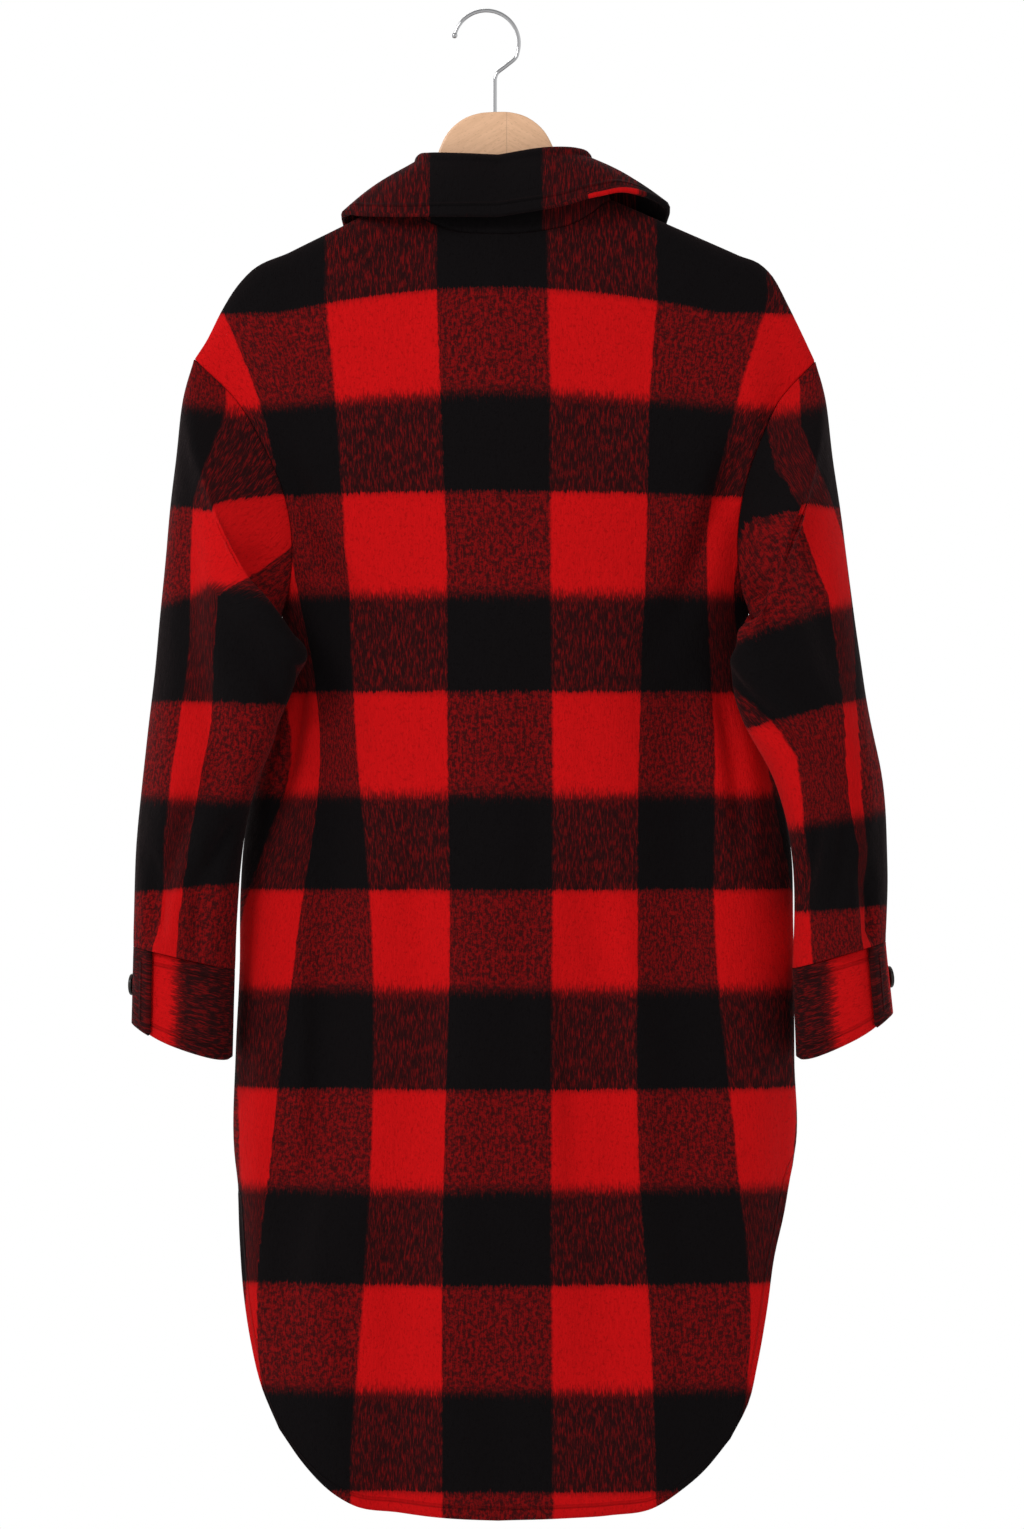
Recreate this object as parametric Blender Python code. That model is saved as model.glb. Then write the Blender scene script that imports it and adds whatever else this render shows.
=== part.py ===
"""A long shirt-style coat of brushed wool in a buffalo check, on a flat wooden hanger.

The coat's front faces -Y and its back +Y, so its left side is at +X. The origin is the
inside of the hook's crest, where a rail carries the hanger. In the tables, "down" is the
distance below that point and "x" the distance from the coat's centre line, in metres.
"""
import math

import bmesh
import bpy
import numpy as np

# Cloth and seams
PANEL_WALL = 0.003
DOUBLE_WALL = 0.005
SEAM_GAP = 0.0003
LAP_CLEARANCE = 0.0008
CENTRE_X = -0.0098

# Coat: heights of the main points below the hook's crest
FRONT_HEM = 1.214
FRONT_EDGE_LAP = 0.015
FRONT_RISE_AT_SIDE = 0.012
UNDERARM_ROW = 0.24
FOOT_ROW = 0.76
RIDGE_RADIUS = 0.014
DEPTH_RUN = 0.20
GIRTH_POWER = 2.5

# Hanger
WIRE_RADIUS = 0.00165
HOOK_RADIUS = 0.027
HOOK_TIP_RADIUS = 0.0026
HOOK_TIP_ANGLE = 14.0
HOOK_LEAVES_ANGLE = 207.0
STEM_X = -0.0072
WOOD_TOP = 0.0823
WOOD_HALF_THICKNESS = 0.006
WOOD_EDGE_ROUND = 0.0052
STEM_IN_WOOD = 0.022
HANGER_TILT = 1.7

# Buttons
FRONT_BUTTONS = 6
FIRST_BUTTON = 0.262
BUTTON_PITCH = 0.132
FRONT_BUTTON_RADIUS = 0.0115
CUFF_BUTTON_RADIUS = 0.0090
BUTTON_SEAT = 0.0005


def table(names, *rows):
    """A table's columns by name, as arrays."""
    return {name: np.array(column, float) for name, column in zip(names.split(), zip(*rows))}


def smooth(at, known, values):
    """Values on a soft curve through a table's points, at one place or at many."""
    at = np.clip(at, known[0], known[-1])
    slopes = np.gradient(values, known, axis=0)
    low = np.clip(np.searchsorted(known, at, side="right") - 1, 0, len(known) - 2)
    step = known[low + 1] - known[low]
    f = (at - known[low]) / step
    near = (1 + 2 * f) * (1 - f) ** 2 * values[low] + f * (1 - f) ** 2 * step * slopes[low]
    far = f * f * (3 - 2 * f) * values[low + 1] + f * f * (f - 1) * step * slopes[low + 1]
    return near + far


def ease(f):
    """0 to 1 with a soft start and end."""
    f = np.clip(f, 0.0, 1.0)
    return f * f * (3 - 2 * f)


# Side edge of the body on each side: armhole to the underarm, side seam to its foot,
# then the curved hem as far as the corner of the panel
EDGE = {
    "left": table(
        "down x",
        (0.286, 0.251), (0.319, 0.217), (0.358, 0.193), (0.401, 0.175), (0.450, 0.169),
        (0.480, 0.1725), (0.499, 0.178), (0.520, 0.1765), (0.545, 0.177), (0.573, 0.185),
        (0.614, 0.196), (0.647, 0.2045), (0.688, 0.2105), (0.729, 0.213), (0.786, 0.2135),
        (0.860, 0.217), (0.942, 0.218), (0.967, 0.215), (1.008, 0.213), (1.057, 0.209),
        (1.094, 0.203), (1.131, 0.1935), (1.164, 0.179)),
    "right": table(
        "down x",
        (0.288, 0.262), (0.319, 0.233), (0.347, 0.219), (0.401, 0.201), (0.450, 0.197),
        (0.480, 0.201), (0.497, 0.207), (0.520, 0.204), (0.545, 0.205), (0.570, 0.212),
        (0.600, 0.2235), (0.636, 0.233), (0.667, 0.239), (0.694, 0.2425), (0.750, 0.244),
        (0.864, 0.245), (0.942, 0.245), (0.959, 0.241), (0.991, 0.235), (1.024, 0.227),
        (1.065, 0.221), (1.114, 0.212), (1.143, 0.205), (1.172, 0.190)),
}
SIGN = {"left": 1.0, "right": -1.0}
TIP = {"left": 0.286, "right": 0.288}
UNDERARM = {"left": 0.499, "right": 0.497}
FOOT = {"left": 0.967, "right": 0.942}
CORNER = {"left": 1.164, "right": 1.172}
NECK_POINT = {"left": 0.080, "right": 0.094}

# Shoulder line, from the centre (inside the collar) to the shoulder tip
RIDGE = {
    "left": table(
        "x down",
        (0.000, 0.120), (0.040, 0.1335), (0.080, 0.152), (0.132, 0.178), (0.1705, 0.197),
        (0.2075, 0.2165), (0.218, 0.229), (0.230, 0.249), (0.240, 0.269), (0.251, 0.286)),
    "right": table(
        "x down",
        (0.000, 0.120), (0.040, 0.1335), (0.094, 0.1548), (0.1476, 0.178), (0.198, 0.200),
        (0.219, 0.2095), (0.227, 0.218), (0.2394, 0.241), (0.2517, 0.266), (0.262, 0.288)),
}

# Half girth of the body behind the armholes; below the underarm the side seam gives it
GIRTH = {
    "left": table(
        "down x",
        (0.110, 0.360), (0.216, 0.300), (0.286, 0.272), (0.319, 0.262), (0.358, 0.250),
        (0.401, 0.232), (0.450, 0.208), (0.480, 0.190), (0.499, 0.178)),
    "right": table(
        "down x",
        (0.110, 0.380), (0.216, 0.312), (0.288, 0.284), (0.319, 0.276), (0.347, 0.268),
        (0.401, 0.252), (0.450, 0.232), (0.480, 0.217), (0.497, 0.207)),
}
HEM_FLARE = 0.05

# How far the back and the front stand from the middle plane
BODY_DEPTH = table(
    "down back front",
    (0.110, 0.075, 0.070), (0.500, 0.078, 0.074), (0.900, 0.084, 0.080), (1.250, 0.090, 0.086))

# Neck seam and hem, from the left (+x) to the right
BACK_NECK = table(
    "x down",
    (-0.094, 0.1548), (-0.087, 0.1585), (-0.078, 0.1660), (-0.067, 0.1730), (-0.034, 0.1820),
    (0.007, 0.1845), (0.048, 0.1780), (0.066, 0.1670), (0.0735, 0.1560), (0.080, 0.1520))
FRONT_NECK = {
    "left": table("x down", (-0.015, 0.233), (0.000, 0.232), (0.025, 0.228), (0.050, 0.207),
                  (0.066, 0.176), (0.0735, 0.1565), (0.080, 0.152)),
    "right": table("x down", (-0.015, 0.233), (0.000, 0.232), (0.028, 0.228), (0.057, 0.208),
                   (0.078, 0.178), (0.0865, 0.159), (0.094, 0.1548)),
}
HEM = {
    "left": table("x down", (0.000, 1.235), (0.039, 1.2335), (0.080, 1.230), (0.120, 1.223),
                  (0.142, 1.209), (0.162, 1.188), (0.179, 1.164)),
    "right": table("x down", (0.000, 1.235), (0.051, 1.2335), (0.092, 1.231), (0.129, 1.225),
                   (0.149, 1.213), (0.170, 1.196), (0.190, 1.172)),
}

# Soft vertical folds: x at the top and at the foot, width, depth, and where they fade
BACK_FOLDS = table(
    "x_top x_foot width depth start end",
    (0.132, 0.136, 0.026, 0.020, 0.480, 1.020),
    (0.078, 0.088, 0.030, 0.012, 0.660, 1.400),
    (0.180, 0.176, 0.016, 0.010, 0.760, 1.130),
    (-0.084, -0.090, 0.032, 0.013, 0.640, 1.180),
    (-0.148, -0.150, 0.028, 0.015, 0.500, 1.050),
    (-0.196, -0.206, 0.018, 0.014, 0.330, 0.520),
    (0.182, 0.190, 0.016, 0.010, 0.330, 0.500),
    (-0.176, -0.168, 0.024, 0.009, 0.980, 1.400))
FRONT_FOLDS = table(
    "x_top x_foot width depth start end",
    (0.118, 0.126, 0.028, 0.017, 0.440, 1.080),
    (0.066, 0.074, 0.026, 0.009, 0.700, 1.400),
    (0.172, 0.168, 0.018, 0.010, 0.820, 1.180),
    (-0.102, -0.108, 0.030, 0.015, 0.520, 1.400),
    (-0.160, -0.156, 0.024, 0.013, 0.420, 0.980),
    (-0.190, -0.198, 0.018, 0.010, 0.860, 1.200))
FOLD_FADE = 0.10

# Sleeve sections below the armhole, from its outer line to its inner line
SLEEVE = {
    "left": table(
        "outer_x outer_down outer_y inner_x inner_down inner_y half_depth",
        (0.2600, 0.322, 0.010, 0.1880, 0.514, 0.028, 0.054),
        (0.2665, 0.380, 0.018, 0.1630, 0.530, 0.062, 0.046),
        (0.2755, 0.470, 0.024, 0.1650, 0.550, 0.062, 0.046),
        (0.2840, 0.560, 0.028, 0.1790, 0.592, 0.058, 0.044),
        (0.2920, 0.635, 0.030, 0.2000, 0.646, 0.050, 0.042),
        (0.2980, 0.700, 0.030, 0.2110, 0.705, 0.040, 0.040),
        (0.2995, 0.770, 0.030, 0.2160, 0.789, 0.030, 0.038)),
    "right": table(
        "outer_x outer_down outer_y inner_x inner_down inner_y half_depth",
        (0.2700, 0.322, 0.010, 0.2150, 0.512, 0.028, 0.054),
        (0.2770, 0.380, 0.018, 0.1930, 0.527, 0.066, 0.046),
        (0.2890, 0.467, 0.024, 0.1880, 0.546, 0.068, 0.046),
        (0.3010, 0.555, 0.028, 0.2000, 0.586, 0.064, 0.045),
        (0.3160, 0.638, 0.030, 0.2270, 0.636, 0.054, 0.042),
        (0.3195, 0.705, 0.030, 0.2420, 0.700, 0.040, 0.040),
        (0.3185, 0.766, 0.030, 0.2420, 0.788, 0.030, 0.038)),
}
CUFF_FOOT = {
    "left": table("outer_x outer_down outer_y inner_x inner_down inner_y half_depth",
                  (0.3010, 0.832, 0.030, 0.2180, 0.860, 0.030, 0.040)),
    "right": table("outer_x outer_down outer_y inner_x inner_down inner_y half_depth",
                   (0.3245, 0.824, 0.030, 0.2450, 0.860, 0.030, 0.040)),
}
CUFF_BACK_DROP = 0.006
CUFF_TOP_EDGE = 47.0
CUFF_UNDER_EDGE = 20.0
CUFF_ROWS = 3
CUFF_BUTTON_COLUMN = 4

# Collar, by place along the neck seam: 0 at the back's centre, 0.5 at a neck point,
# 1 at the centre front. The roll is the fold's crest and the edge is the fall's free edge
ROLL = {
    "left": table("place x y down", (0.0, 0.000, 0.022, 0.119), (0.25, 0.036, 0.021, 0.1175),
                  (0.4, 0.057, 0.012, 0.1165), (0.5, 0.063, -0.002, 0.1165),
                  (0.62, 0.060, -0.020, 0.127), (0.75, 0.050, -0.034, 0.150),
                  (1.0, 0.0045, -0.050, 0.202)),
    "right": table("place x y down", (0.0, 0.000, 0.022, 0.119), (0.25, 0.042, 0.021, 0.1125),
                   (0.4, 0.064, 0.012, 0.1125), (0.5, 0.0713, -0.002, 0.1147),
                   (0.62, 0.067, -0.020, 0.127), (0.75, 0.056, -0.034, 0.150),
                   (1.0, 0.0045, -0.050, 0.202)),
}
FALL_EDGE = {
    "left": table("place x y down", (0.0, 0.000, 0.047, 0.170), (0.17, 0.045, 0.047, 0.170),
                  (0.33, 0.089, 0.037, 0.169), (0.42, 0.113, 0.022, 0.167),
                  (0.5, 0.129, 0.002, 0.164), (0.58, 0.128, -0.022, 0.175),
                  (0.66, 0.122, -0.036, 0.200), (0.8, 0.104, -0.045, 0.240),
                  (1.0, 0.070, -0.051, 0.288)),
    "right": table("place x y down", (0.0, 0.000, 0.047, 0.170), (0.17, 0.051, 0.050, 0.1615),
                   (0.33, 0.0836, 0.047, 0.1525), (0.42, 0.110, 0.034, 0.148),
                   (0.5, 0.140, 0.006, 0.157), (0.58, 0.139, -0.022, 0.172),
                   (0.66, 0.133, -0.036, 0.196), (0.8, 0.111, -0.045, 0.236),
                   (1.0, 0.070, -0.051, 0.288)),
}
ROLL_RADIUS = 0.0065
STAND_INSET = 0.0015
FALL_BOW = 0.003

# Hanger's outline on one side, from the top of its head round to the middle of its foot;
# x from its middle, down from the top of its head
WOOD_OUTLINE = table(
    "x down",
    (0.000, 0.0000), (0.012, 0.0006), (0.024, 0.0040), (0.034, 0.0105), (0.0415, 0.0190),
    (0.0475, 0.0315), (0.0525, 0.0460), (0.058, 0.0600), (0.066, 0.0725), (0.080, 0.0805),
    (0.106, 0.0851), (0.160, 0.1107), (0.192, 0.1258), (0.2005, 0.1315), (0.2045, 0.1390),
    (0.2035, 0.1468),
    (0.1970, 0.1520), (0.188, 0.1525), (0.140, 0.1330), (0.090, 0.1110), (0.050, 0.0900),
    (0.022, 0.0755), (0.000, 0.0715))

# Where the rows and columns of a body panel lie
ARMHOLE_ROWS = (0.0, 0.0025, 0.008, 0.018, 0.045, 0.085, 0.13, 0.175, 0.208, 0.228, 0.24)
SEAM_ROWS = 10
HEM_ROWS = 5
SHOULDER_PLACES = (1.0, 0.99, 0.96, 0.91, 0.84, 0.76, 0.68, 0.60, 0.52, 0.44, 0.37)
NECK_PLACES = (0.34, 0.30, 0.23, 0.155, 0.08)
FAN = 1.5
FAN_RUN = 0.06
NECK_SHARE = SHOULDER_PLACES[-1]
LAP_PLACE = 0.07

RED = (0.58, 0.006, 0.008)
BLACK = (0.006, 0.006, 0.006)
WOOD = (0.73, 0.45, 0.25)
CHROME = (0.75, 0.76, 0.78)


def clear_scene():
    """Remove what the scene holds."""
    for item in list(bpy.data.objects):
        bpy.data.objects.remove(item, do_unlink=True)


def material(name, colour, roughness, metallic=0.0):
    """A plain material for one sub-part."""
    made = bpy.data.materials.new(name)
    made.use_nodes = True
    shader = made.node_tree.nodes["Principled BSDF"]
    shader.inputs["Base Color"].default_value = (*colour, 1.0)
    shader.inputs["Roughness"].default_value = roughness
    shader.inputs["Metallic"].default_value = metallic
    return made


def add_object(name, mesh, made):
    """Put a mesh into the scene as the sub-part of that name, shaded smooth."""
    mesh.materials.append(made)
    mesh.shade_smooth()
    mesh.set_sharp_from_angle(angle=math.radians(40))
    item = bpy.data.objects.new(name, mesh)
    bpy.context.scene.collection.objects.link(item)
    return item


class Piece:
    """A piece of cloth: a grid of points on its outer face, and its wall's thickness."""

    def __init__(self, name, points, wall, outward, round_=False):
        self.name = name
        self.points = np.array(points, float)
        self.wall = wall
        self.round = round_
        self.normals = self.face_out(outward)
        self.inner = -wall * self.normals

    def face_out(self, outward):
        """Unit normals at the points, on the side that "outward" names for the grid's middle."""
        grid = self.points
        if self.round:
            along = np.roll(grid, -1, axis=1) - np.roll(grid, 1, axis=1)
        else:
            along = np.gradient(grid, axis=1)
        normals = np.cross(along, np.gradient(grid, axis=0))
        normals /= np.linalg.norm(normals, axis=2, keepdims=True)
        return normals if np.sum(normals * outward) > 0 else -normals

    def rim(self):
        """Rows and columns of the points on the piece's edges."""
        rows, columns = self.points.shape[:2]
        for row in range(rows):
            for column in range(columns):
                side = column in (0, columns - 1) and not self.round
                if row in (0, rows - 1) or side:
                    yield row, column

    def inward(self, row, column):
        """Unit direction along the cloth from an edge point into the piece."""
        rows, columns = self.points.shape[:2]
        near_row = min(max(row, 1), rows - 2)
        near_column = column if self.round else min(max(column, 1), columns - 2)
        way = self.points[near_row, near_column] - self.points[row, column]
        return way / np.linalg.norm(way)

    def build(self, made):
        """The closed wall: outer face, inner face and the edges between them."""
        rows, columns = self.points.shape[:2]
        shape = bmesh.new()
        centre = np.array((CENTRE_X, 0.0, 0.0))
        outer = [[shape.verts.new(p + centre) for p in line] for line in self.points]
        inner = [[shape.verts.new(p + centre) for p in line] for line in self.points + self.inner]
        spans = columns if self.round else columns - 1
        for row in range(rows - 1):
            for column in range(spans):
                after = (column + 1) % columns
                for face in (outer, inner):
                    shape.faces.new((face[row][column], face[row][after],
                                     face[row + 1][after], face[row + 1][column]))
        for row in (0, rows - 1):
            for column in range(spans):
                after = (column + 1) % columns
                close_edge(shape, outer[row][column], outer[row][after],
                           inner[row][column], inner[row][after])
        if not self.round:
            for column in (0, columns - 1):
                for row in range(rows - 1):
                    close_edge(shape, outer[row][column], outer[row + 1][column],
                               inner[row][column], inner[row + 1][column])
        bmesh.ops.recalc_face_normals(shape, faces=shape.faces)
        mesh = bpy.data.meshes.new(self.name)
        shape.to_mesh(mesh)
        shape.free()
        return add_object(self.name, mesh, made)


def close_edge(shape, outer_a, outer_b, inner_a, inner_b):
    """A step of the wall's edge, split on its shorter diagonal as on the piece beside it."""
    if (outer_a.co - inner_b.co).length < (outer_b.co - inner_a.co).length:
        shape.faces.new((outer_a, outer_b, inner_b))
        shape.faces.new((outer_a, inner_b, inner_a))
    else:
        shape.faces.new((outer_a, outer_b, inner_a))
        shape.faces.new((outer_b, inner_b, inner_a))


def sew(pieces):
    """Join pieces at the points they share: one wall direction there, parted by the seam gap."""
    same_place = 2e-5
    softness = 0.08
    longest = 1.1
    edges = [(piece, row, column) for piece in pieces for row, column in piece.rim()]
    places = np.array([piece.points[row, column] for piece, row, column in edges])
    done = set()
    for first, place in enumerate(places):
        if first in done:
            continue
        group = np.flatnonzero(np.linalg.norm(places - place, axis=1) < same_place)
        done.update(group.tolist())
        if len(group) < 2:
            continue
        meeting = [edges[i] for i in group]
        normals = np.array([piece.normals[row, column] for piece, row, column in meeting])
        system = normals @ normals.T + softness * np.eye(len(meeting))
        wall_way = -normals.T @ np.linalg.solve(system, np.ones(len(meeting)))
        wall_way *= min(1.0, longest / np.linalg.norm(wall_way))
        ways = np.array([piece.inward(row, column) for piece, row, column in meeting])
        if len(meeting) == 2:
            across = (ways[0] - ways[1]) / np.linalg.norm(ways[0] - ways[1])
            wall_way -= (wall_way @ across) * across
            wall_way *= max(1.0, 1 / np.linalg.norm(wall_way))
        for number, (piece, row, column) in enumerate(meeting):
            others = np.delete(ways, number, axis=0).mean(axis=0)
            apart = ways[number] - others
            apart /= np.linalg.norm(apart)
            piece.inner[row, column] = wall_way * piece.wall
            piece.points[row, column] = place + apart * SEAM_GAP / 2


def edge_x(side, down):
    """Half width of a body panel at a height."""
    return smooth(down, EDGE[side]["down"], EDGE[side]["x"])


def half_girth(side, down):
    """Half width at which the back would meet the front, armhole or not."""
    behind_armhole = smooth(down, GIRTH[side]["down"], GIRTH[side]["x"])
    foot = edge_x(side, FOOT[side]) + HEM_FLARE * (down - FOOT[side])
    return np.where(down < UNDERARM[side], behind_armhole,
                    np.where(down < FOOT[side], edge_x(side, down), foot))


def below_ridge(side, x, down):
    """Distance of a point from the shoulder line, square to that line."""
    line = RIDGE[side]
    step = 0.004
    height = smooth(x, line["x"], line["down"])
    slope = (smooth(x + step, line["x"], line["down"]) - smooth(x - step, line["x"], line["down"]))
    return np.maximum(down - height, 0.0) * np.cos(np.arctan(slope / (2 * step)))


def fold_depth(folds, x, down):
    """How far the soft folds draw a panel in."""
    total = np.zeros_like(x)
    for x_top, x_foot, width, depth, start, end in zip(*folds.values()):
        place = x_top + (x_foot - x_top) * np.clip((down - start) / (end - start), 0, 1)
        fade = ease((down - start) / FOLD_FADE) * ease((end - down) / FOLD_FADE)
        total += depth * fade * np.exp(-((x - place) / width) ** 2)
    return total


def stand_off(face, x, down):
    """How far the back or the front stands from the middle plane at a place."""
    reach = smooth(down, BODY_DEPTH["down"], BODY_DEPTH[face])
    result = np.zeros_like(x)
    for side, sign in SIGN.items():
        across = np.abs(x)
        below = below_ridge(side, across, down)
        over = np.clip(below / RIDGE_RADIUS, 0, 1)
        top = RIDGE_RADIUS * np.sqrt(1 - (1 - over) ** 2)
        out = top + (reach - RIDGE_RADIUS) * (1 - np.exp(-below / DEPTH_RUN))
        share = np.clip(across / half_girth(side, down), 0, 1)
        girth = np.sqrt(1 - share ** GIRTH_POWER)
        result = np.where(x * sign >= 0, out * girth, result)
        drawn = fold_depth(BACK_FOLDS if face == "back" else FRONT_FOLDS, x, down) * girth
        result = np.where(x * sign >= 0, result - drawn, result)
    return result


def side_rows(side):
    """Heights of a body panel's rows along its side edge, and the rows' shares of the panel."""
    shares = np.concatenate((ARMHOLE_ROWS,
                             np.linspace(UNDERARM_ROW, FOOT_ROW, SEAM_ROWS + 1)[1:],
                             np.linspace(FOOT_ROW, 1.0, HEM_ROWS + 1)[1:]))
    heights = np.interp(shares, (0, UNDERARM_ROW, FOOT_ROW, 1),
                        (TIP[side], UNDERARM[side], FOOT[side], CORNER[side]))
    return shares, heights


def shoulder_line(side, places):
    """Points of the shoulder seam, from the tip to the neck point."""
    outer = EDGE[side]["x"][0]
    f = (np.array(places) - NECK_SHARE) / (1 - NECK_SHARE)
    x = NECK_POINT[side] + f * (outer - NECK_POINT[side])
    down = smooth(x, RIDGE[side]["x"], RIDGE[side]["down"])
    down[0] = TIP[side]
    return np.column_stack((SIGN[side] * x, down))


def fill_panel(top, bottom, first, last, rows, across):
    """Points of a flat panel between its four edges."""
    t = rows[:, None, None]
    s = across[None, :, None]
    corners = ((1 - t) * ((1 - s) * top[0] + s * top[-1])
               + t * ((1 - s) * bottom[0] + s * bottom[-1]))
    return ((1 - t) * top[None] + t * bottom[None]
            + (1 - s) * first[:, None] + s * last[:, None] - corners)


def fan_out(flat, rows, places):
    """Lean the columns outward just below the shoulders, where the neck seam turns down."""
    lean = FAN * rows * np.exp(-rows / FAN_RUN)
    flat[..., 0] += np.sign(flat[..., 0]) * np.outer(lean, np.sin(np.pi * np.abs(places)))


def make_back():
    """The back in one piece, from armhole to armhole."""
    rows, _ = side_rows("left")
    half = SHOULDER_PLACES + NECK_PLACES
    places = np.array(half + (0.0,) + tuple(-p for p in reversed(half)))
    neck = np.array(NECK_PLACES + (0.0,) + tuple(-p for p in reversed(NECK_PLACES))) / NECK_SHARE
    neck_x = np.where(neck > 0, neck * NECK_POINT["left"], neck * NECK_POINT["right"])
    neck_line = np.column_stack((neck_x, smooth(neck_x, BACK_NECK["x"], BACK_NECK["down"])))
    top = np.vstack((shoulder_line("left", SHOULDER_PLACES), neck_line,
                     shoulder_line("right", SHOULDER_PLACES)[::-1]))
    hem_x = np.where(places > 0, places * HEM["left"]["x"][-1], places * HEM["right"]["x"][-1])
    hem_down = np.where(places > 0,
                        smooth(np.abs(hem_x), HEM["left"]["x"], HEM["left"]["down"]),
                        smooth(np.abs(hem_x), HEM["right"]["x"], HEM["right"]["down"]))
    bottom = np.column_stack((hem_x, hem_down))
    edges = []
    for side in ("left", "right"):
        heights = side_rows(side)[1]
        edges.append(np.column_stack((SIGN[side] * edge_x(side, heights), heights)))
    flat = fill_panel(top, bottom, edges[0], edges[1], rows, (1 - places) / 2)
    fan_out(flat, rows, places)
    x, down = flat[..., 0], flat[..., 1]
    points = np.stack((x, stand_off("back", x, down), -down), axis=2)
    return Piece("back", points, PANEL_WALL, np.array((0.0, 1.0, 0.0)))


def make_front(side):
    """One front, from its side seam to its front edge, which laps past the centre."""
    sign = SIGN[side]
    rows, heights = side_rows(side)
    places = np.array(SHOULDER_PLACES + NECK_PLACES + (0.0, -LAP_PLACE))
    lap = FRONT_EDGE_LAP
    neck_x = np.array(NECK_PLACES + (0.0,)) / NECK_SHARE * NECK_POINT[side]
    neck_x = np.append(neck_x, -lap)
    line = FRONT_NECK[side]
    neck_line = np.column_stack((sign * neck_x, smooth(neck_x, line["x"], line["down"])))
    top = np.vstack((shoulder_line(side, SHOULDER_PLACES), neck_line))
    hem_x = np.where(places >= 0, places * HEM[side]["x"][-1], -lap)
    hem_down = smooth(np.abs(hem_x), HEM[side]["x"], HEM[side]["down"])
    shorter = HEM[side]["down"][0] - FRONT_HEM
    bottom = np.column_stack((sign * hem_x, hem_down - shorter))
    drawn_in = FRONT_RISE_AT_SIDE * ease((heights - FOOT[side]) / (CORNER[side] - FOOT[side]))
    raised = shorter * ease((heights - FOOT[side]) / (CORNER[side] - FOOT[side]))
    first = np.column_stack((sign * (edge_x(side, heights) - drawn_in), heights - raised))
    bottom[:, 0] -= sign * FRONT_RISE_AT_SIDE * np.clip(places, 0, 1)
    last_down = top[-1, 1] + rows * (bottom[-1, 1] - top[-1, 1])
    last = np.column_stack((np.full_like(rows, -sign * lap), last_down))
    flat = fill_panel(top, bottom, first, last, rows, (1 - places) / (1 + LAP_PLACE))
    fan_out(flat, rows, np.maximum(places, 0))
    x, down = flat[..., 0], flat[..., 1]
    out = stand_off("front", x, down)
    if side == "left":
        under = ease((2.4 * lap - x) / lap)
        out = out - under * (PANEL_WALL + LAP_CLEARANCE)
    points = np.stack((x, -out, -down), axis=2)
    return Piece("front_" + side, points, PANEL_WALL, np.array((0.0, -1.0, 0.0)))


def section(row, number=0):
    """Centre, half width vector and half depth vector of a sleeve or cuff section."""
    outer = np.array((row["outer_x"][number], row["outer_y"][number], -row["outer_down"][number]))
    inner = np.array((row["inner_x"][number], row["inner_y"][number], -row["inner_down"][number]))
    return (outer + inner) / 2, (outer - inner) / 2, np.array((0, row["half_depth"][number], 0))


def make_sleeve(side, back, front):
    """A sleeve from the armhole of the body to the cuff seam."""
    last_row = len(ARMHOLE_ROWS) - 1
    column = 0 if side == "left" else -1
    back_half = back.points[:last_row + 1, column]
    front_half = front.points[:last_row + 1, 0]
    armhole = np.vstack((back_half, front_half[last_row - 1:0:-1])) * (SIGN[side], 1, 1)
    lengths = np.linalg.norm(np.diff(back_half, axis=0), axis=1)
    walked = np.concatenate(((0.0,), np.cumsum(lengths))) / lengths.sum()
    even = np.linspace(0, 1, last_row + 1)
    rings = [armhole]
    spread_over = 3
    for number in range(len(SLEEVE[side]["outer_x"])):
        centre, width, depth = section(SLEEVE[side], number)
        f = min(1.0, (number + 1) / spread_over)
        half_turn = np.pi * ((1 - f) * walked + f * even)
        turn = np.concatenate((half_turn, 2 * np.pi - half_turn[-2:0:-1]))[:, None]
        rings.append(centre + width * np.cos(turn) + depth * np.sin(turn))
    known = np.arange(len(rings), dtype=float)
    wanted = np.concatenate((np.linspace(0, 2, 6), np.linspace(2, known[-1], 8)[1:]))
    points = np.array([smooth(at, known, np.array(rings)) for at in wanted])
    points *= (SIGN[side], 1, 1)
    out = points - points.mean(axis=1, keepdims=True)
    sleeve = Piece("sleeve_" + side, points, PANEL_WALL, out, round_=True)
    across = np.cross(points[-1, 0] - points[-1, last_row], (0, 1, 0))
    across /= np.linalg.norm(across)
    flat = sleeve.inner[-1] - np.outer(sleeve.inner[-1] @ across, across)
    sleeve.inner[-1] = flat / np.linalg.norm(flat, axis=1, keepdims=True) * PANEL_WALL
    return sleeve


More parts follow.
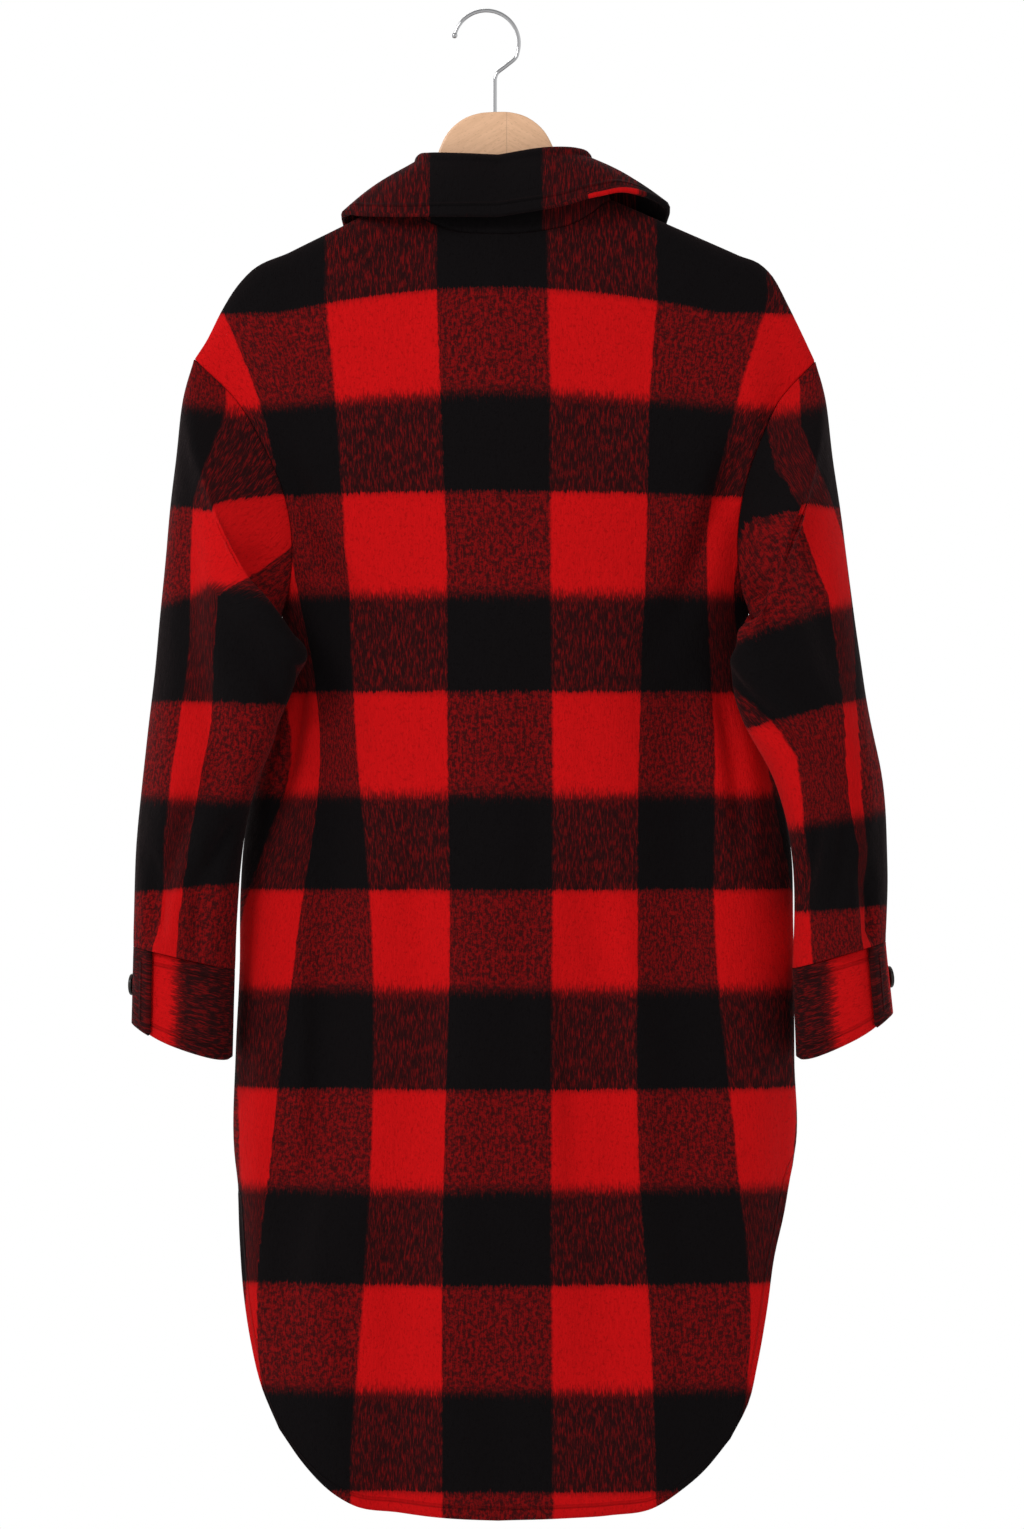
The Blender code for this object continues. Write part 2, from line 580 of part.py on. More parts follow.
def make_cuff(side):
    """A cuff: a band from its top edge round the wrist to its end under the lap."""
    steps = 26
    turn = np.radians(np.linspace(CUFF_TOP_EDGE, CUFF_UNDER_EDGE - 360, steps))
    under = ease((-np.degrees(turn) - 225) / 60) * (DOUBLE_WALL + LAP_CLEARANCE)
    top = section(SLEEVE[side], -1)
    foot = section(CUFF_FOOT[side])
    lines = []
    for f in np.linspace(0, 1, CUFF_ROWS + 1):
        centre, width, depth = ((1 - f) * a + f * b for a, b in zip(top, foot))
        way = width * np.cos(turn)[:, None] + depth * np.sin(turn)[:, None]
        size = np.linalg.norm(way, axis=1, keepdims=True)
        line = centre + way * (1 - under[:, None] / size)
        line[:, 2] -= f * CUFF_BACK_DROP * np.sin(turn)
        lines.append(line)
    points = np.array(lines)
    down_way = points[-1].mean(axis=0) - points[0].mean(axis=0)
    down_way /= np.linalg.norm(down_way)
    points[0] += down_way * 1.5 * SEAM_GAP
    out = points - points.mean(axis=1, keepdims=True)
    points *= (SIGN[side], 1, 1)
    out *= (SIGN[side], 1, 1)
    cuff = Piece("cuff_" + side, points, DOUBLE_WALL, out)
    across = np.cross(top[1] * (SIGN[side], 1, 1), top[2])
    across /= np.linalg.norm(across)
    flat = cuff.inner[0] - np.outer(cuff.inner[0] @ across, across)
    cuff.inner[0] = flat / np.linalg.norm(flat, axis=1, keepdims=True) * DOUBLE_WALL
    return cuff


def neck_seam(back, left, right):
    """The neck seam from the left centre front round the back to the right centre front."""
    neck_column = len(SHOULDER_PLACES) - 1
    centre_column = neck_column + len(NECK_PLACES) + 1
    left_part = left.points[0, neck_column + 1:centre_column + 1][::-1]
    right_part = right.points[0, neck_column + 1:centre_column + 1]
    back_part = back.points[0, neck_column:back.points.shape[1] - neck_column]
    return np.vstack((left_part, back_part, right_part))


def collar_line(tables, places):
    """Points of the collar's roll or edge at places from -1 (left front) to 1 (right front)."""
    points = np.zeros((len(places), 3))
    for side, sign in SIGN.items():
        line = tables[side]
        here = places * sign <= 0
        for axis, name, turned in ((0, "x", sign), (1, "y", 1), (2, "down", -1)):
            points[here, axis] = turned * smooth(np.abs(places[here]), line["place"], line[name])
    return points


def make_collar(seam):
    """The stand on the neck seam, and the fall that turns over it."""
    count = len(seam)
    front_part = len(NECK_PLACES) + 1
    walked = np.concatenate(((0.0,), np.cumsum(np.linalg.norm(np.diff(seam, axis=0), axis=1))))
    marks = walked[[0, front_part, count - 1 - front_part, count - 1]]
    places = np.interp(walked, marks, (-1.0, -0.5, 0.5, 1.0))
    roll = collar_line(ROLL, places)
    edge = collar_line(FALL_EDGE, places)
    along = np.gradient(roll, axis=0)
    out = np.column_stack((-along[:, 1], along[:, 0], np.zeros(count)))
    out *= np.sign((out * (roll - roll.mean(axis=0))).sum())
    out /= np.linalg.norm(out, axis=1, keepdims=True)
    up = np.cross(out, along)
    up *= np.sign(up[:, 2:]) / np.linalg.norm(up, axis=1, keepdims=True)
    centre = roll - ROLL_RADIUS * up

    stand_top = centre - STAND_INSET * out - 2 * SEAM_GAP * up
    middle = (seam + stand_top) / 2
    stand = Piece("collar_stand", (seam, middle, stand_top), PANEL_WALL, out)
    stand.inner[1] *= (PANEL_WALL + DOUBLE_WALL) / 2 / PANEL_WALL
    stand.inner[-1] = -DOUBLE_WALL * out

    lines = [centre + ROLL_RADIUS * (math.cos(a) * out + math.sin(a) * up)
             for a in np.radians((180, 135, 90, 45, 0))]
    side_rise = (out + up) / math.sqrt(2)
    for f in (0.22, 0.46, 0.73, 1.0):
        bow = FALL_BOW * math.sin(math.pi * f)
        lines.append((1 - f) * lines[4] + f * edge + bow * side_rise)
    lines = np.array(lines)
    outward = np.zeros_like(lines)
    outward[5:] = out
    fall = Piece("collar_fall", lines, DOUBLE_WALL, outward)
    fall.inner[0] = DOUBLE_WALL * out
    return stand, fall


def turned(name, profile, sides, place, axis, made):
    """A round piece turned from a profile of radius and height, set on a face."""
    shape = bmesh.new()
    rings = []
    for radius, height in profile:
        if radius == 0:
            rings.append([shape.verts.new((0, 0, height))])
            continue
        angles = [2 * math.pi * k / sides for k in range(sides)]
        rings.append([shape.verts.new((radius * math.cos(a), radius * math.sin(a), height))
                      for a in angles])
    for low, high in zip(rings, rings[1:]):
        for k in range(sides):
            after = (k + 1) % sides
            corners = [low[k % len(low)], low[after % len(low)],
                       high[after % len(high)], high[k % len(high)]]
            shape.faces.new(list(dict.fromkeys(corners)))
    bmesh.ops.recalc_face_normals(shape, faces=shape.faces)
    aim = np.array(axis, float) / np.linalg.norm(axis)
    side = np.cross((0, 0, 1), aim)
    side /= np.linalg.norm(side)
    frame = np.column_stack((side, np.cross(aim, side), aim))
    for vertex in shape.verts:
        vertex.co = frame @ np.array(vertex.co) + place + np.array((CENTRE_X, 0, 0))
    mesh = bpy.data.meshes.new(name)
    shape.to_mesh(mesh)
    shape.free()
    return add_object(name, mesh, made)


def button_profile(radius):
    """Half section of a button with a raised rim, from the middle of its back to its front."""
    thick = 0.30 * radius
    return ((0, 0), (0.78 * radius, 0), (radius, 0.35 * thick), (radius, 0.75 * thick),
            (0.86 * radius, thick), (0.66 * radius, 0.62 * thick), (0, 0.62 * thick))


def make_buttons(front, cuffs, made):
    """Buttons down the centre front and one on each cuff's lap."""
    step = 0.01
    centre_line = front.points[:, -2]
    for number in range(FRONT_BUTTONS):
        down = FIRST_BUTTON + number * BUTTON_PITCH
        above, place, below = (
            np.array([np.interp(at, -centre_line[:, 2], centre_line[:, axis]) for axis in range(3)])
            for at in (down - step, down, down + step))
        normal = np.array((0.0, -1.0, (above[1] - below[1]) / (2 * step)))
        normal /= np.linalg.norm(normal)
        place += normal * BUTTON_SEAT
        turned(f"button_front_{number + 1}", button_profile(FRONT_BUTTON_RADIUS), 14, place,
               normal, made)
    for cuff in cuffs:
        side = cuff.name.removeprefix("cuff_")
        middle = slice(1, CUFF_ROWS)
        place = cuff.points[middle, CUFF_BUTTON_COLUMN].mean(axis=0)
        normal = cuff.normals[middle, CUFF_BUTTON_COLUMN].mean(axis=0)
        turned("button_cuff_" + side, button_profile(CUFF_BUTTON_RADIUS), 14,
               place + normal * BUTTON_SEAT, normal, made)


def make_wood(made):
    """The hanger's wood: one outline with rounded edges, bored for the hook's stem."""
    half = np.column_stack((WOOD_OUTLINE["x"], WOOD_OUTLINE["down"]))
    outline = np.vstack((half, (half * (-1, 1))[-2:0:-1]))
    shape = bmesh.new()
    ring = [shape.verts.new((x, -WOOD_HALF_THICKNESS, -down)) for x, down in outline]
    face = shape.faces.new(ring)
    grown = bmesh.ops.extrude_face_region(shape, geom=[face])["geom"]
    moved = [part for part in grown if isinstance(part, bmesh.types.BMVert)]
    bmesh.ops.translate(shape, verts=moved, vec=(0, 2 * WOOD_HALF_THICKNESS, 0))
    bmesh.ops.recalc_face_normals(shape, faces=shape.faces)
    mesh = bpy.data.meshes.new("hanger_wood")
    shape.to_mesh(mesh)
    shape.free()
    wood = add_object("hanger_wood", mesh, made)
    wood.location = (STEM_X, 0, -WOOD_TOP)
    wood.rotation_euler = (0, math.radians(HANGER_TILT), 0)
    rounding = wood.modifiers.new("edge_round", "BEVEL")
    rounding.width = WOOD_EDGE_ROUND
    rounding.segments = 3
    rounding.limit_method = "ANGLE"
    rounding.angle_limit = math.radians(60)
    cutter_mesh = bpy.data.meshes.new("stem_bore")
    bore = bmesh.new()
    bmesh.ops.create_cone(bore, cap_ends=True, segments=12, radius1=WIRE_RADIUS + SEAM_GAP,
                          radius2=WIRE_RADIUS + SEAM_GAP, depth=2 * (STEM_IN_WOOD + SEAM_GAP))
    bore.to_mesh(cutter_mesh)
    bore.free()
    cutter = bpy.data.objects.new("stem_bore", cutter_mesh)
    cutter.location = (STEM_X, 0, -WOOD_TOP)
    cutter.hide_render = True
    cutter.display_type = "WIRE"
    bpy.context.scene.collection.objects.link(cutter)
    drilling = wood.modifiers.new("stem_bore", "BOOLEAN")
    drilling.operation = "DIFFERENCE"
    drilling.solver = "EXACT"
    drilling.object = cutter


def make_hook(made):
    """The hook: wire bent on a round crest, then straight down into the wood."""
    sides = 10
    drop = HOOK_RADIUS - WIRE_RADIUS
    turn = np.radians(np.linspace(HOOK_TIP_ANGLE, HOOK_LEAVES_ANGLE, 17))
    arc = np.column_stack((HOOK_RADIUS * np.cos(turn), HOOK_RADIUS * np.sin(turn) - drop))
    bend = np.array(((-0.0165, -0.0440), (-0.0098, -0.0492), (-0.0076, -0.0535)))
    stem = np.array(((STEM_X, -0.0600), (STEM_X, -WOOD_TOP - STEM_IN_WOOD)))
    path = np.vstack((arc, bend, stem))
    along = np.gradient(path, axis=0)
    along /= np.linalg.norm(along, axis=1, keepdims=True)
    ball = HOOK_TIP_RADIUS
    back_off = np.array((-1.0, -0.62, -0.1, 0.55, 0.95))
    tip = path[0] + along[0] * ball * back_off[:, None]
    tip_radii = ball * np.sqrt(np.maximum(1 - back_off ** 2, 0.05))
    points = np.vstack((tip, path[1:]))
    ways = np.vstack((np.repeat(along[:1], len(tip), axis=0), along[1:]))
    radii = np.concatenate((tip_radii, np.full(len(path) - 1, WIRE_RADIUS)))
    radii[len(tip) - 1] = WIRE_RADIUS
    shape = bmesh.new()
    rings = []
    for (x, z), (ax, az), radius in zip(points, ways, radii):
        ring = []
        for k in range(sides):
            angle = 2 * math.pi * k / sides
            reach = radius * math.cos(angle)
            ring.append(shape.verts.new((x - az * reach, radius * math.sin(angle), z + ax * reach)))
        rings.append(ring)
    for low, high in zip(rings, rings[1:]):
        for k in range(sides):
            shape.faces.new((low[k], low[(k + 1) % sides], high[(k + 1) % sides], high[k]))
    shape.faces.new(rings[0])
    shape.faces.new(rings[-1])
    bmesh.ops.recalc_face_normals(shape, faces=shape.faces)
    mesh = bpy.data.meshes.new("hanger_hook")
    shape.to_mesh(mesh)
    shape.free()
    add_object("hanger_hook", mesh, made)


def main():
    """Build the coat and its hanger."""
    clear_scene()
    cloth = material("brushed_wool", RED, 0.9)
    horn = material("button_horn", BLACK, 0.35)
    back = make_back()
    left = make_front("left")
    right = make_front("right")
    sleeves = [make_sleeve("left", back, left), make_sleeve("right", back, right)]
    stand, fall = make_collar(neck_seam(back, left, right))
    sew([back, left, right, stand] + sleeves)
    cuffs = [make_cuff("left"), make_cuff("right")]
    for piece in [back, left, right, stand, fall] + sleeves + cuffs:
        piece.build(cloth)
    make_buttons(right, cuffs, horn)
    make_wood(material("beech", WOOD, 0.45))
    make_hook(material("chrome", CHROME, 0.12, 1.0))


main()
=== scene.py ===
"""How the coat looks: brushed wool in a red and black check, hung on a wooden hanger.

The forms come from the same named sizes as the solids, drawn finer, with creases laid
over them. "Down" is the distance below the inside of the hook's crest and "x" the distance
from the coat's centre line, in metres. The coat's back faces +Y.
"""
import math

import bpy
import numpy as np
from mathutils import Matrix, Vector, noise


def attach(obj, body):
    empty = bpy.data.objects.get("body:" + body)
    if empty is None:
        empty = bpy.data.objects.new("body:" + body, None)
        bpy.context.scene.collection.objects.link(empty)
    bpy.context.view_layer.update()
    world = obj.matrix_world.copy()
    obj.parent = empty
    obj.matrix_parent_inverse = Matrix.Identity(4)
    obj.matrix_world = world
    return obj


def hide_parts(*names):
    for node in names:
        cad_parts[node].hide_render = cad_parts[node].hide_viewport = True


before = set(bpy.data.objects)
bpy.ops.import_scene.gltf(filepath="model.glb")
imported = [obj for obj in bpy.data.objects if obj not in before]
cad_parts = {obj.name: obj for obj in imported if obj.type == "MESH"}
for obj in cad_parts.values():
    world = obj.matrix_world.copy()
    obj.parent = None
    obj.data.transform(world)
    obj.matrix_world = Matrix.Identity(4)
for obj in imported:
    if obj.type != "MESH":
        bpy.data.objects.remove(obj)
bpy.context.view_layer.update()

# Cloth and seams
PANEL_WALL = 0.003
DOUBLE_WALL = 0.005
SEAM_GAP = 0.0003
LAP_CLEARANCE = 0.0008
CENTRE_X = -0.0098

# Coat: heights of the main points below the hook's crest
FRONT_HEM = 1.214
FRONT_EDGE_LAP = 0.015
FRONT_RISE_AT_SIDE = 0.012
UNDERARM_ROW = 0.24
FOOT_ROW = 0.76
RIDGE_RADIUS = 0.014
DEPTH_RUN = 0.20
GIRTH_POWER = 2.5

# Hanger
WIRE_RADIUS = 0.00165
HOOK_RADIUS = 0.027
HOOK_TIP_RADIUS = 0.0026
HOOK_TIP_ANGLE = 14.0
HOOK_LEAVES_ANGLE = 207.0
STEM_X = -0.0072
WOOD_TOP = 0.0823
WOOD_HALF_THICKNESS = 0.006
WOOD_EDGE_ROUND = 0.0052
STEM_IN_WOOD = 0.022
HANGER_TILT = 1.7
# Between its crest and its straight stem the wire bends in: x and height
HOOK_BEND = ((-0.0165, -0.0440), (-0.0098, -0.0492), (-0.0076, -0.0535))
HOOK_STRAIGHT_FROM = -0.0600
HOOK_TIP_STEPS = (0.98, 0.93, 0.80, 0.60, 0.35, 0.05, -0.25, -0.5, -0.70)

# Buttons
FRONT_BUTTONS = 6
FIRST_BUTTON = 0.262
BUTTON_PITCH = 0.132
FRONT_BUTTON_RADIUS = 0.0115
CUFF_BUTTON_RADIUS = 0.0090
BUTTON_SEAT = 0.0005
CUFF_BUTTON_PLACE = 0.16


def table(names, *rows):
    """A table's columns by name, as arrays."""
    return {name: np.array(column, float) for name, column in zip(names.split(), zip(*rows))}


def smooth(at, known, values):
    """Values on a soft curve through a table's points, at one place or at many."""
    at = np.clip(at, known[0], known[-1])
    slopes = np.gradient(values, known, axis=0)
    low = np.clip(np.searchsorted(known, at, side="right") - 1, 0, len(known) - 2)
    step = known[low + 1] - known[low]
    f = (at - known[low]) / step
    near = (1 + 2 * f) * (1 - f) ** 2 * values[low] + f * (1 - f) ** 2 * step * slopes[low]
    far = f * f * (3 - 2 * f) * values[low + 1] + f * f * (f - 1) * step * slopes[low + 1]
    return near + far


def down_at(line, x):
    """How far down a line lies at places across."""
    return smooth(x, line["x"], line["down"])


def ease(f):
    """0 to 1 with a soft start and end."""
    f = np.clip(f, 0.0, 1.0)
    return f * f * (3 - 2 * f)


# Side edge of the body on each side: armhole to the underarm, side seam to its foot,
# then the curved hem as far as the corner of the panel
EDGE = {
    "left": table(
        "down x",
        (0.286, 0.251), (0.319, 0.217), (0.358, 0.193), (0.401, 0.175), (0.450, 0.169),
        (0.480, 0.1725), (0.499, 0.178), (0.520, 0.1765), (0.545, 0.177), (0.573, 0.185),
        (0.614, 0.196), (0.647, 0.2045), (0.688, 0.2105), (0.729, 0.213), (0.786, 0.2135),
        (0.860, 0.217), (0.942, 0.218), (0.967, 0.215), (1.008, 0.213), (1.057, 0.209),
        (1.094, 0.203), (1.131, 0.1935), (1.164, 0.179)),
    "right": table(
        "down x",
        (0.288, 0.262), (0.319, 0.233), (0.347, 0.219), (0.401, 0.201), (0.450, 0.197),
        (0.480, 0.201), (0.497, 0.207), (0.520, 0.204), (0.545, 0.205), (0.570, 0.212),
        (0.600, 0.2235), (0.636, 0.233), (0.667, 0.239), (0.694, 0.2425), (0.750, 0.244),
        (0.864, 0.245), (0.942, 0.245), (0.959, 0.241), (0.991, 0.235), (1.024, 0.227),
        (1.065, 0.221), (1.114, 0.212), (1.143, 0.205), (1.172, 0.190)),
}
SIGN = {"left": 1.0, "right": -1.0}
TIP = {"left": 0.286, "right": 0.288}
UNDERARM = {"left": 0.499, "right": 0.497}
FOOT = {"left": 0.967, "right": 0.942}
CORNER = {"left": 1.164, "right": 1.172}
NECK_POINT = {"left": 0.080, "right": 0.094}

# Shoulder line, from the centre (inside the collar) to the shoulder tip
RIDGE = {
    "left": table(
        "x down",
        (0.000, 0.120), (0.040, 0.1335), (0.080, 0.152), (0.132, 0.178), (0.1705, 0.197),
        (0.2075, 0.2165), (0.218, 0.229), (0.230, 0.249), (0.240, 0.269), (0.251, 0.286)),
    "right": table(
        "x down",
        (0.000, 0.120), (0.040, 0.1335), (0.094, 0.1548), (0.1476, 0.178), (0.198, 0.200),
        (0.219, 0.2095), (0.227, 0.218), (0.2394, 0.241), (0.2517, 0.266), (0.262, 0.288)),
}

# Half girth of the body behind the armholes; below the underarm the side seam gives it
GIRTH = {
    "left": table(
        "down x",
        (0.110, 0.360), (0.216, 0.300), (0.286, 0.272), (0.319, 0.262), (0.358, 0.250),
        (0.401, 0.232), (0.450, 0.208), (0.480, 0.190), (0.499, 0.178)),
    "right": table(
        "down x",
        (0.110, 0.380), (0.216, 0.312), (0.288, 0.284), (0.319, 0.276), (0.347, 0.268),
        (0.401, 0.252), (0.450, 0.232), (0.480, 0.217), (0.497, 0.207)),
}
HEM_FLARE = 0.05

# How far the back and the front stand from the middle plane
BODY_DEPTH = table(
    "down back front",
    (0.110, 0.075, 0.070), (0.500, 0.078, 0.074), (0.900, 0.084, 0.080), (1.250, 0.090, 0.086))

# Neck seam and hem, from the left (+x) to the right
BACK_NECK = table(
    "x down",
    (-0.094, 0.1548), (-0.087, 0.1585), (-0.078, 0.1660), (-0.067, 0.1730), (-0.034, 0.1820),
    (0.007, 0.1845), (0.048, 0.1780), (0.066, 0.1670), (0.0735, 0.1560), (0.080, 0.1520))
FRONT_NECK = {
    "left": table("x down", (-0.015, 0.233), (0.000, 0.232), (0.025, 0.228), (0.050, 0.207),
                  (0.066, 0.176), (0.0735, 0.1565), (0.080, 0.152)),
    "right": table("x down", (-0.015, 0.233), (0.000, 0.232), (0.028, 0.228), (0.057, 0.208),
                   (0.078, 0.178), (0.0865, 0.159), (0.094, 0.1548)),
}
HEM = {
    "left": table("x down", (0.000, 1.235), (0.039, 1.2335), (0.080, 1.230), (0.120, 1.223),
                  (0.142, 1.209), (0.162, 1.188), (0.179, 1.164)),
    "right": table("x down", (0.000, 1.235), (0.051, 1.2335), (0.092, 1.231), (0.129, 1.225),
                   (0.149, 1.213), (0.170, 1.196), (0.190, 1.172)),
}

# Soft vertical folds: x at the top and at the foot, width, depth, and where they fade
FOLDS = {"back": table(
    "x_top x_foot width depth start end",
    (0.132, 0.136, 0.026, 0.020, 0.480, 1.020),
    (0.078, 0.088, 0.030, 0.012, 0.660, 1.400),
    (0.180, 0.176, 0.016, 0.010, 0.760, 1.130),
    (-0.084, -0.090, 0.032, 0.013, 0.640, 1.180),
    (-0.148, -0.150, 0.028, 0.015, 0.500, 1.050),
    (-0.196, -0.206, 0.018, 0.014, 0.330, 0.520),
    (0.182, 0.190, 0.016, 0.010, 0.330, 0.500),
    (-0.176, -0.168, 0.024, 0.009, 0.980, 1.400)), "front": table(
    "x_top x_foot width depth start end",
    (0.118, 0.126, 0.028, 0.017, 0.440, 1.080),
    (0.066, 0.074, 0.026, 0.009, 0.700, 1.400),
    (0.172, 0.168, 0.018, 0.010, 0.820, 1.180),
    (-0.102, -0.108, 0.030, 0.015, 0.520, 1.400),
    (-0.160, -0.156, 0.024, 0.013, 0.420, 0.980),
    (-0.190, -0.198, 0.018, 0.010, 0.860, 1.200))}
FOLD_FADE = 0.10

# Sleeve sections below the armhole, from its outer line to its inner line
SLEEVE = {
    "left": table(
        "outer_x outer_down outer_y inner_x inner_down inner_y half_depth",
        (0.2600, 0.322, 0.010, 0.1880, 0.514, 0.028, 0.054),
        (0.2665, 0.380, 0.018, 0.1630, 0.530, 0.062, 0.046),
        (0.2755, 0.470, 0.024, 0.1650, 0.550, 0.062, 0.046),
        (0.2840, 0.560, 0.028, 0.1790, 0.592, 0.058, 0.044),
        (0.2920, 0.635, 0.030, 0.2000, 0.646, 0.050, 0.042),
        (0.2980, 0.700, 0.030, 0.2110, 0.705, 0.040, 0.040),
        (0.2995, 0.770, 0.030, 0.2160, 0.789, 0.030, 0.038)),
    "right": table(
        "outer_x outer_down outer_y inner_x inner_down inner_y half_depth",
        (0.2700, 0.322, 0.010, 0.2150, 0.512, 0.028, 0.054),
        (0.2770, 0.380, 0.018, 0.1930, 0.527, 0.066, 0.046),
        (0.2890, 0.467, 0.024, 0.1880, 0.546, 0.068, 0.046),
        (0.3010, 0.555, 0.028, 0.2000, 0.586, 0.064, 0.045),
        (0.3160, 0.638, 0.030, 0.2270, 0.636, 0.054, 0.042),
        (0.3195, 0.705, 0.030, 0.2420, 0.700, 0.040, 0.040),
        (0.3185, 0.766, 0.030, 0.2420, 0.788, 0.030, 0.038)),
}
CUFF_FOOT = {
    "left": table("outer_x outer_down outer_y inner_x inner_down inner_y half_depth",
                  (0.3010, 0.832, 0.030, 0.2180, 0.860, 0.030, 0.040)),
    "right": table("outer_x outer_down outer_y inner_x inner_down inner_y half_depth",
                   (0.3245, 0.824, 0.030, 0.2450, 0.860, 0.030, 0.040)),
}
CUFF_BACK_DROP = 0.006
CUFF_TOP_EDGE = 47.0
CUFF_UNDER_EDGE = 20.0
CUFF_DIPS_AT = 225.0
CUFF_DIPS_OVER = 60.0
CUFF_ROWS = 3

# Collar, by place along the neck seam: 0 at the back's centre, 0.5 at a neck point,
# 1 at the centre front. The roll is the fold's crest and the edge is the fall's free edge
ROLL = {
    "left": table("place x y down", (0.0, 0.000, 0.022, 0.119), (0.25, 0.036, 0.021, 0.1175),
                  (0.4, 0.057, 0.012, 0.1165), (0.5, 0.063, -0.002, 0.1165),
                  (0.62, 0.060, -0.020, 0.127), (0.75, 0.050, -0.034, 0.150),
                  (1.0, 0.0045, -0.050, 0.202)),
    "right": table("place x y down", (0.0, 0.000, 0.022, 0.119), (0.25, 0.042, 0.021, 0.1125),
                   (0.4, 0.064, 0.012, 0.1125), (0.5, 0.0713, -0.002, 0.1147),
                   (0.62, 0.067, -0.020, 0.127), (0.75, 0.056, -0.034, 0.150),
                   (1.0, 0.0045, -0.050, 0.202)),
}
FALL_EDGE = {
    "left": table("place x y down", (0.0, 0.000, 0.047, 0.170), (0.17, 0.045, 0.047, 0.170),
                  (0.33, 0.089, 0.037, 0.169), (0.42, 0.113, 0.022, 0.167),
                  (0.5, 0.129, 0.002, 0.164), (0.58, 0.128, -0.022, 0.175),
                  (0.66, 0.122, -0.036, 0.200), (0.8, 0.104, -0.045, 0.240),
                  (1.0, 0.070, -0.051, 0.288)),
    "right": table("place x y down", (0.0, 0.000, 0.047, 0.170), (0.17, 0.051, 0.050, 0.1615),
                   (0.33, 0.0836, 0.047, 0.1525), (0.42, 0.110, 0.034, 0.148),
                   (0.5, 0.140, 0.006, 0.157), (0.58, 0.139, -0.022, 0.172),
                   (0.66, 0.133, -0.036, 0.196), (0.8, 0.111, -0.045, 0.236),
                   (1.0, 0.070, -0.051, 0.288)),
}
ROLL_RADIUS = 0.0065
STAND_INSET = 0.0015
FALL_BOW = 0.003
STAND_ROWS = 17
ROLL_ROWS = 17
FALL_ROWS = 25
# Where the fall's right end shows a red corner of the check: x from and to, and share down
RED_END_FROM, RED_END_TO, RED_END_SOFT = -0.066, -0.130, 0.012
RED_END_DOWN, RED_END_RUN = 0.88, 0.08

# Hanger's outline on one side, from the top of its head round to the middle of its foot;
# x from its middle, down from the top of its head
WOOD_OUTLINE = table(
    "x down",
    (0.000, 0.0000), (0.012, 0.0006), (0.024, 0.0040), (0.034, 0.0105), (0.0415, 0.0190),
    (0.0475, 0.0315), (0.0525, 0.0460), (0.058, 0.0600), (0.066, 0.0725), (0.080, 0.0805),
    (0.106, 0.0851), (0.160, 0.1107), (0.192, 0.1258), (0.2005, 0.1315), (0.2045, 0.1390),
    (0.2035, 0.1468),
    (0.1970, 0.1520), (0.188, 0.1525), (0.140, 0.1330), (0.090, 0.1110), (0.050, 0.0900),
    (0.022, 0.0755), (0.000, 0.0715))

# Where the rows and columns of a body panel lie
ARMHOLE_ROWS = (0.0, 0.0025, 0.008, 0.018, 0.045, 0.085, 0.13, 0.175, 0.208, 0.228, 0.24)
SEAM_ROWS = 10
HEM_ROWS = 5
SHOULDER_PLACES = (1.0, 0.99, 0.96, 0.91, 0.84, 0.76, 0.68, 0.60, 0.52, 0.44, 0.37)
NECK_PLACES = (0.34, 0.30, 0.23, 0.155, 0.08)
FAN = 1.5
FAN_RUN = 0.06
NECK_SHARE = SHOULDER_PLACES[-1]
LAP_PLACE = 0.07

# Checks: one stripe and one row of the flat cloth
STRIPE = 0.0895
ROW = 0.082
# The back's rows sag beside the centre line, most of all near one height
SAG = 0.014
SAG_FROM_CENTRE = 0.15
SAG_AT, SAG_REACH = 0.24, 0.12

# Where the stripes' edges lie on the back, from the wearer's left to the right
BACK_STRIPES = table(
    "down e0 e1 e2 e3 e4 e5 e6 e7",
    (0.237, 0.321, 0.231, 0.142, 0.050, -0.041, -0.131, -0.223, -0.314),
    (0.319, 0.287, 0.197, 0.134, 0.047, -0.043, -0.125, -0.197, -0.287),
    (0.442, 0.216, 0.171, 0.125, 0.042, -0.043, -0.122, -0.175, -0.200),
    (0.606, 0.172, 0.146, 0.116, 0.041, -0.045, -0.116, -0.178, -0.219),
    (0.766, 0.214, 0.165, 0.103, 0.039, -0.045, -0.114, -0.178, -0.248),
    (0.926, 0.213, 0.185, 0.103, 0.043, -0.044, -0.114, -0.194, -0.245),
    (1.086, 0.209, 0.198, 0.112, 0.045, -0.044, -0.125, -0.207, -0.227),
    (1.180, 0.235, 0.187, 0.120, 0.045, -0.045, -0.129, -0.198, -0.239))
# Where the rows' edges cross the centre line
ROWS_DOWN = (0.064, 0.147, 0.229, 0.315, 0.397, 0.481, 0.561, 0.645, 0.723, 0.804, 0.886,
             0.967, 1.045, 1.131, 1.213, 1.296)


def row_at(down):
    """Which row of the check lies at a height, with its fraction; red rows start even."""
    return np.interp(down, ROWS_DOWN, np.arange(len(ROWS_DOWN)) - 2.0)


def back_checks(x, down):
    """Stripe and row coordinates of the cloth on the back."""
    stripe = np.full_like(x, -3.0)
    edges = [smooth(down, BACK_STRIPES["down"], BACK_STRIPES[f"e{k}"]) for k in range(8)]
    stripe -= np.maximum(x - edges[0], 0) / STRIPE
    for near, far in zip(edges, edges[1:]):
        stripe += np.clip((near - x) / (near - far), 0, 1)
    stripe += np.maximum(edges[-1] - x, 0) / STRIPE
    sag = (SAG * np.clip(np.abs(x) / SAG_FROM_CENTRE, 0, 1.2) ** 2
           * np.exp(-((down - SAG_AT) / SAG_REACH) ** 2))
    return np.stack((stripe, row_at(down - sag)), axis=-1)


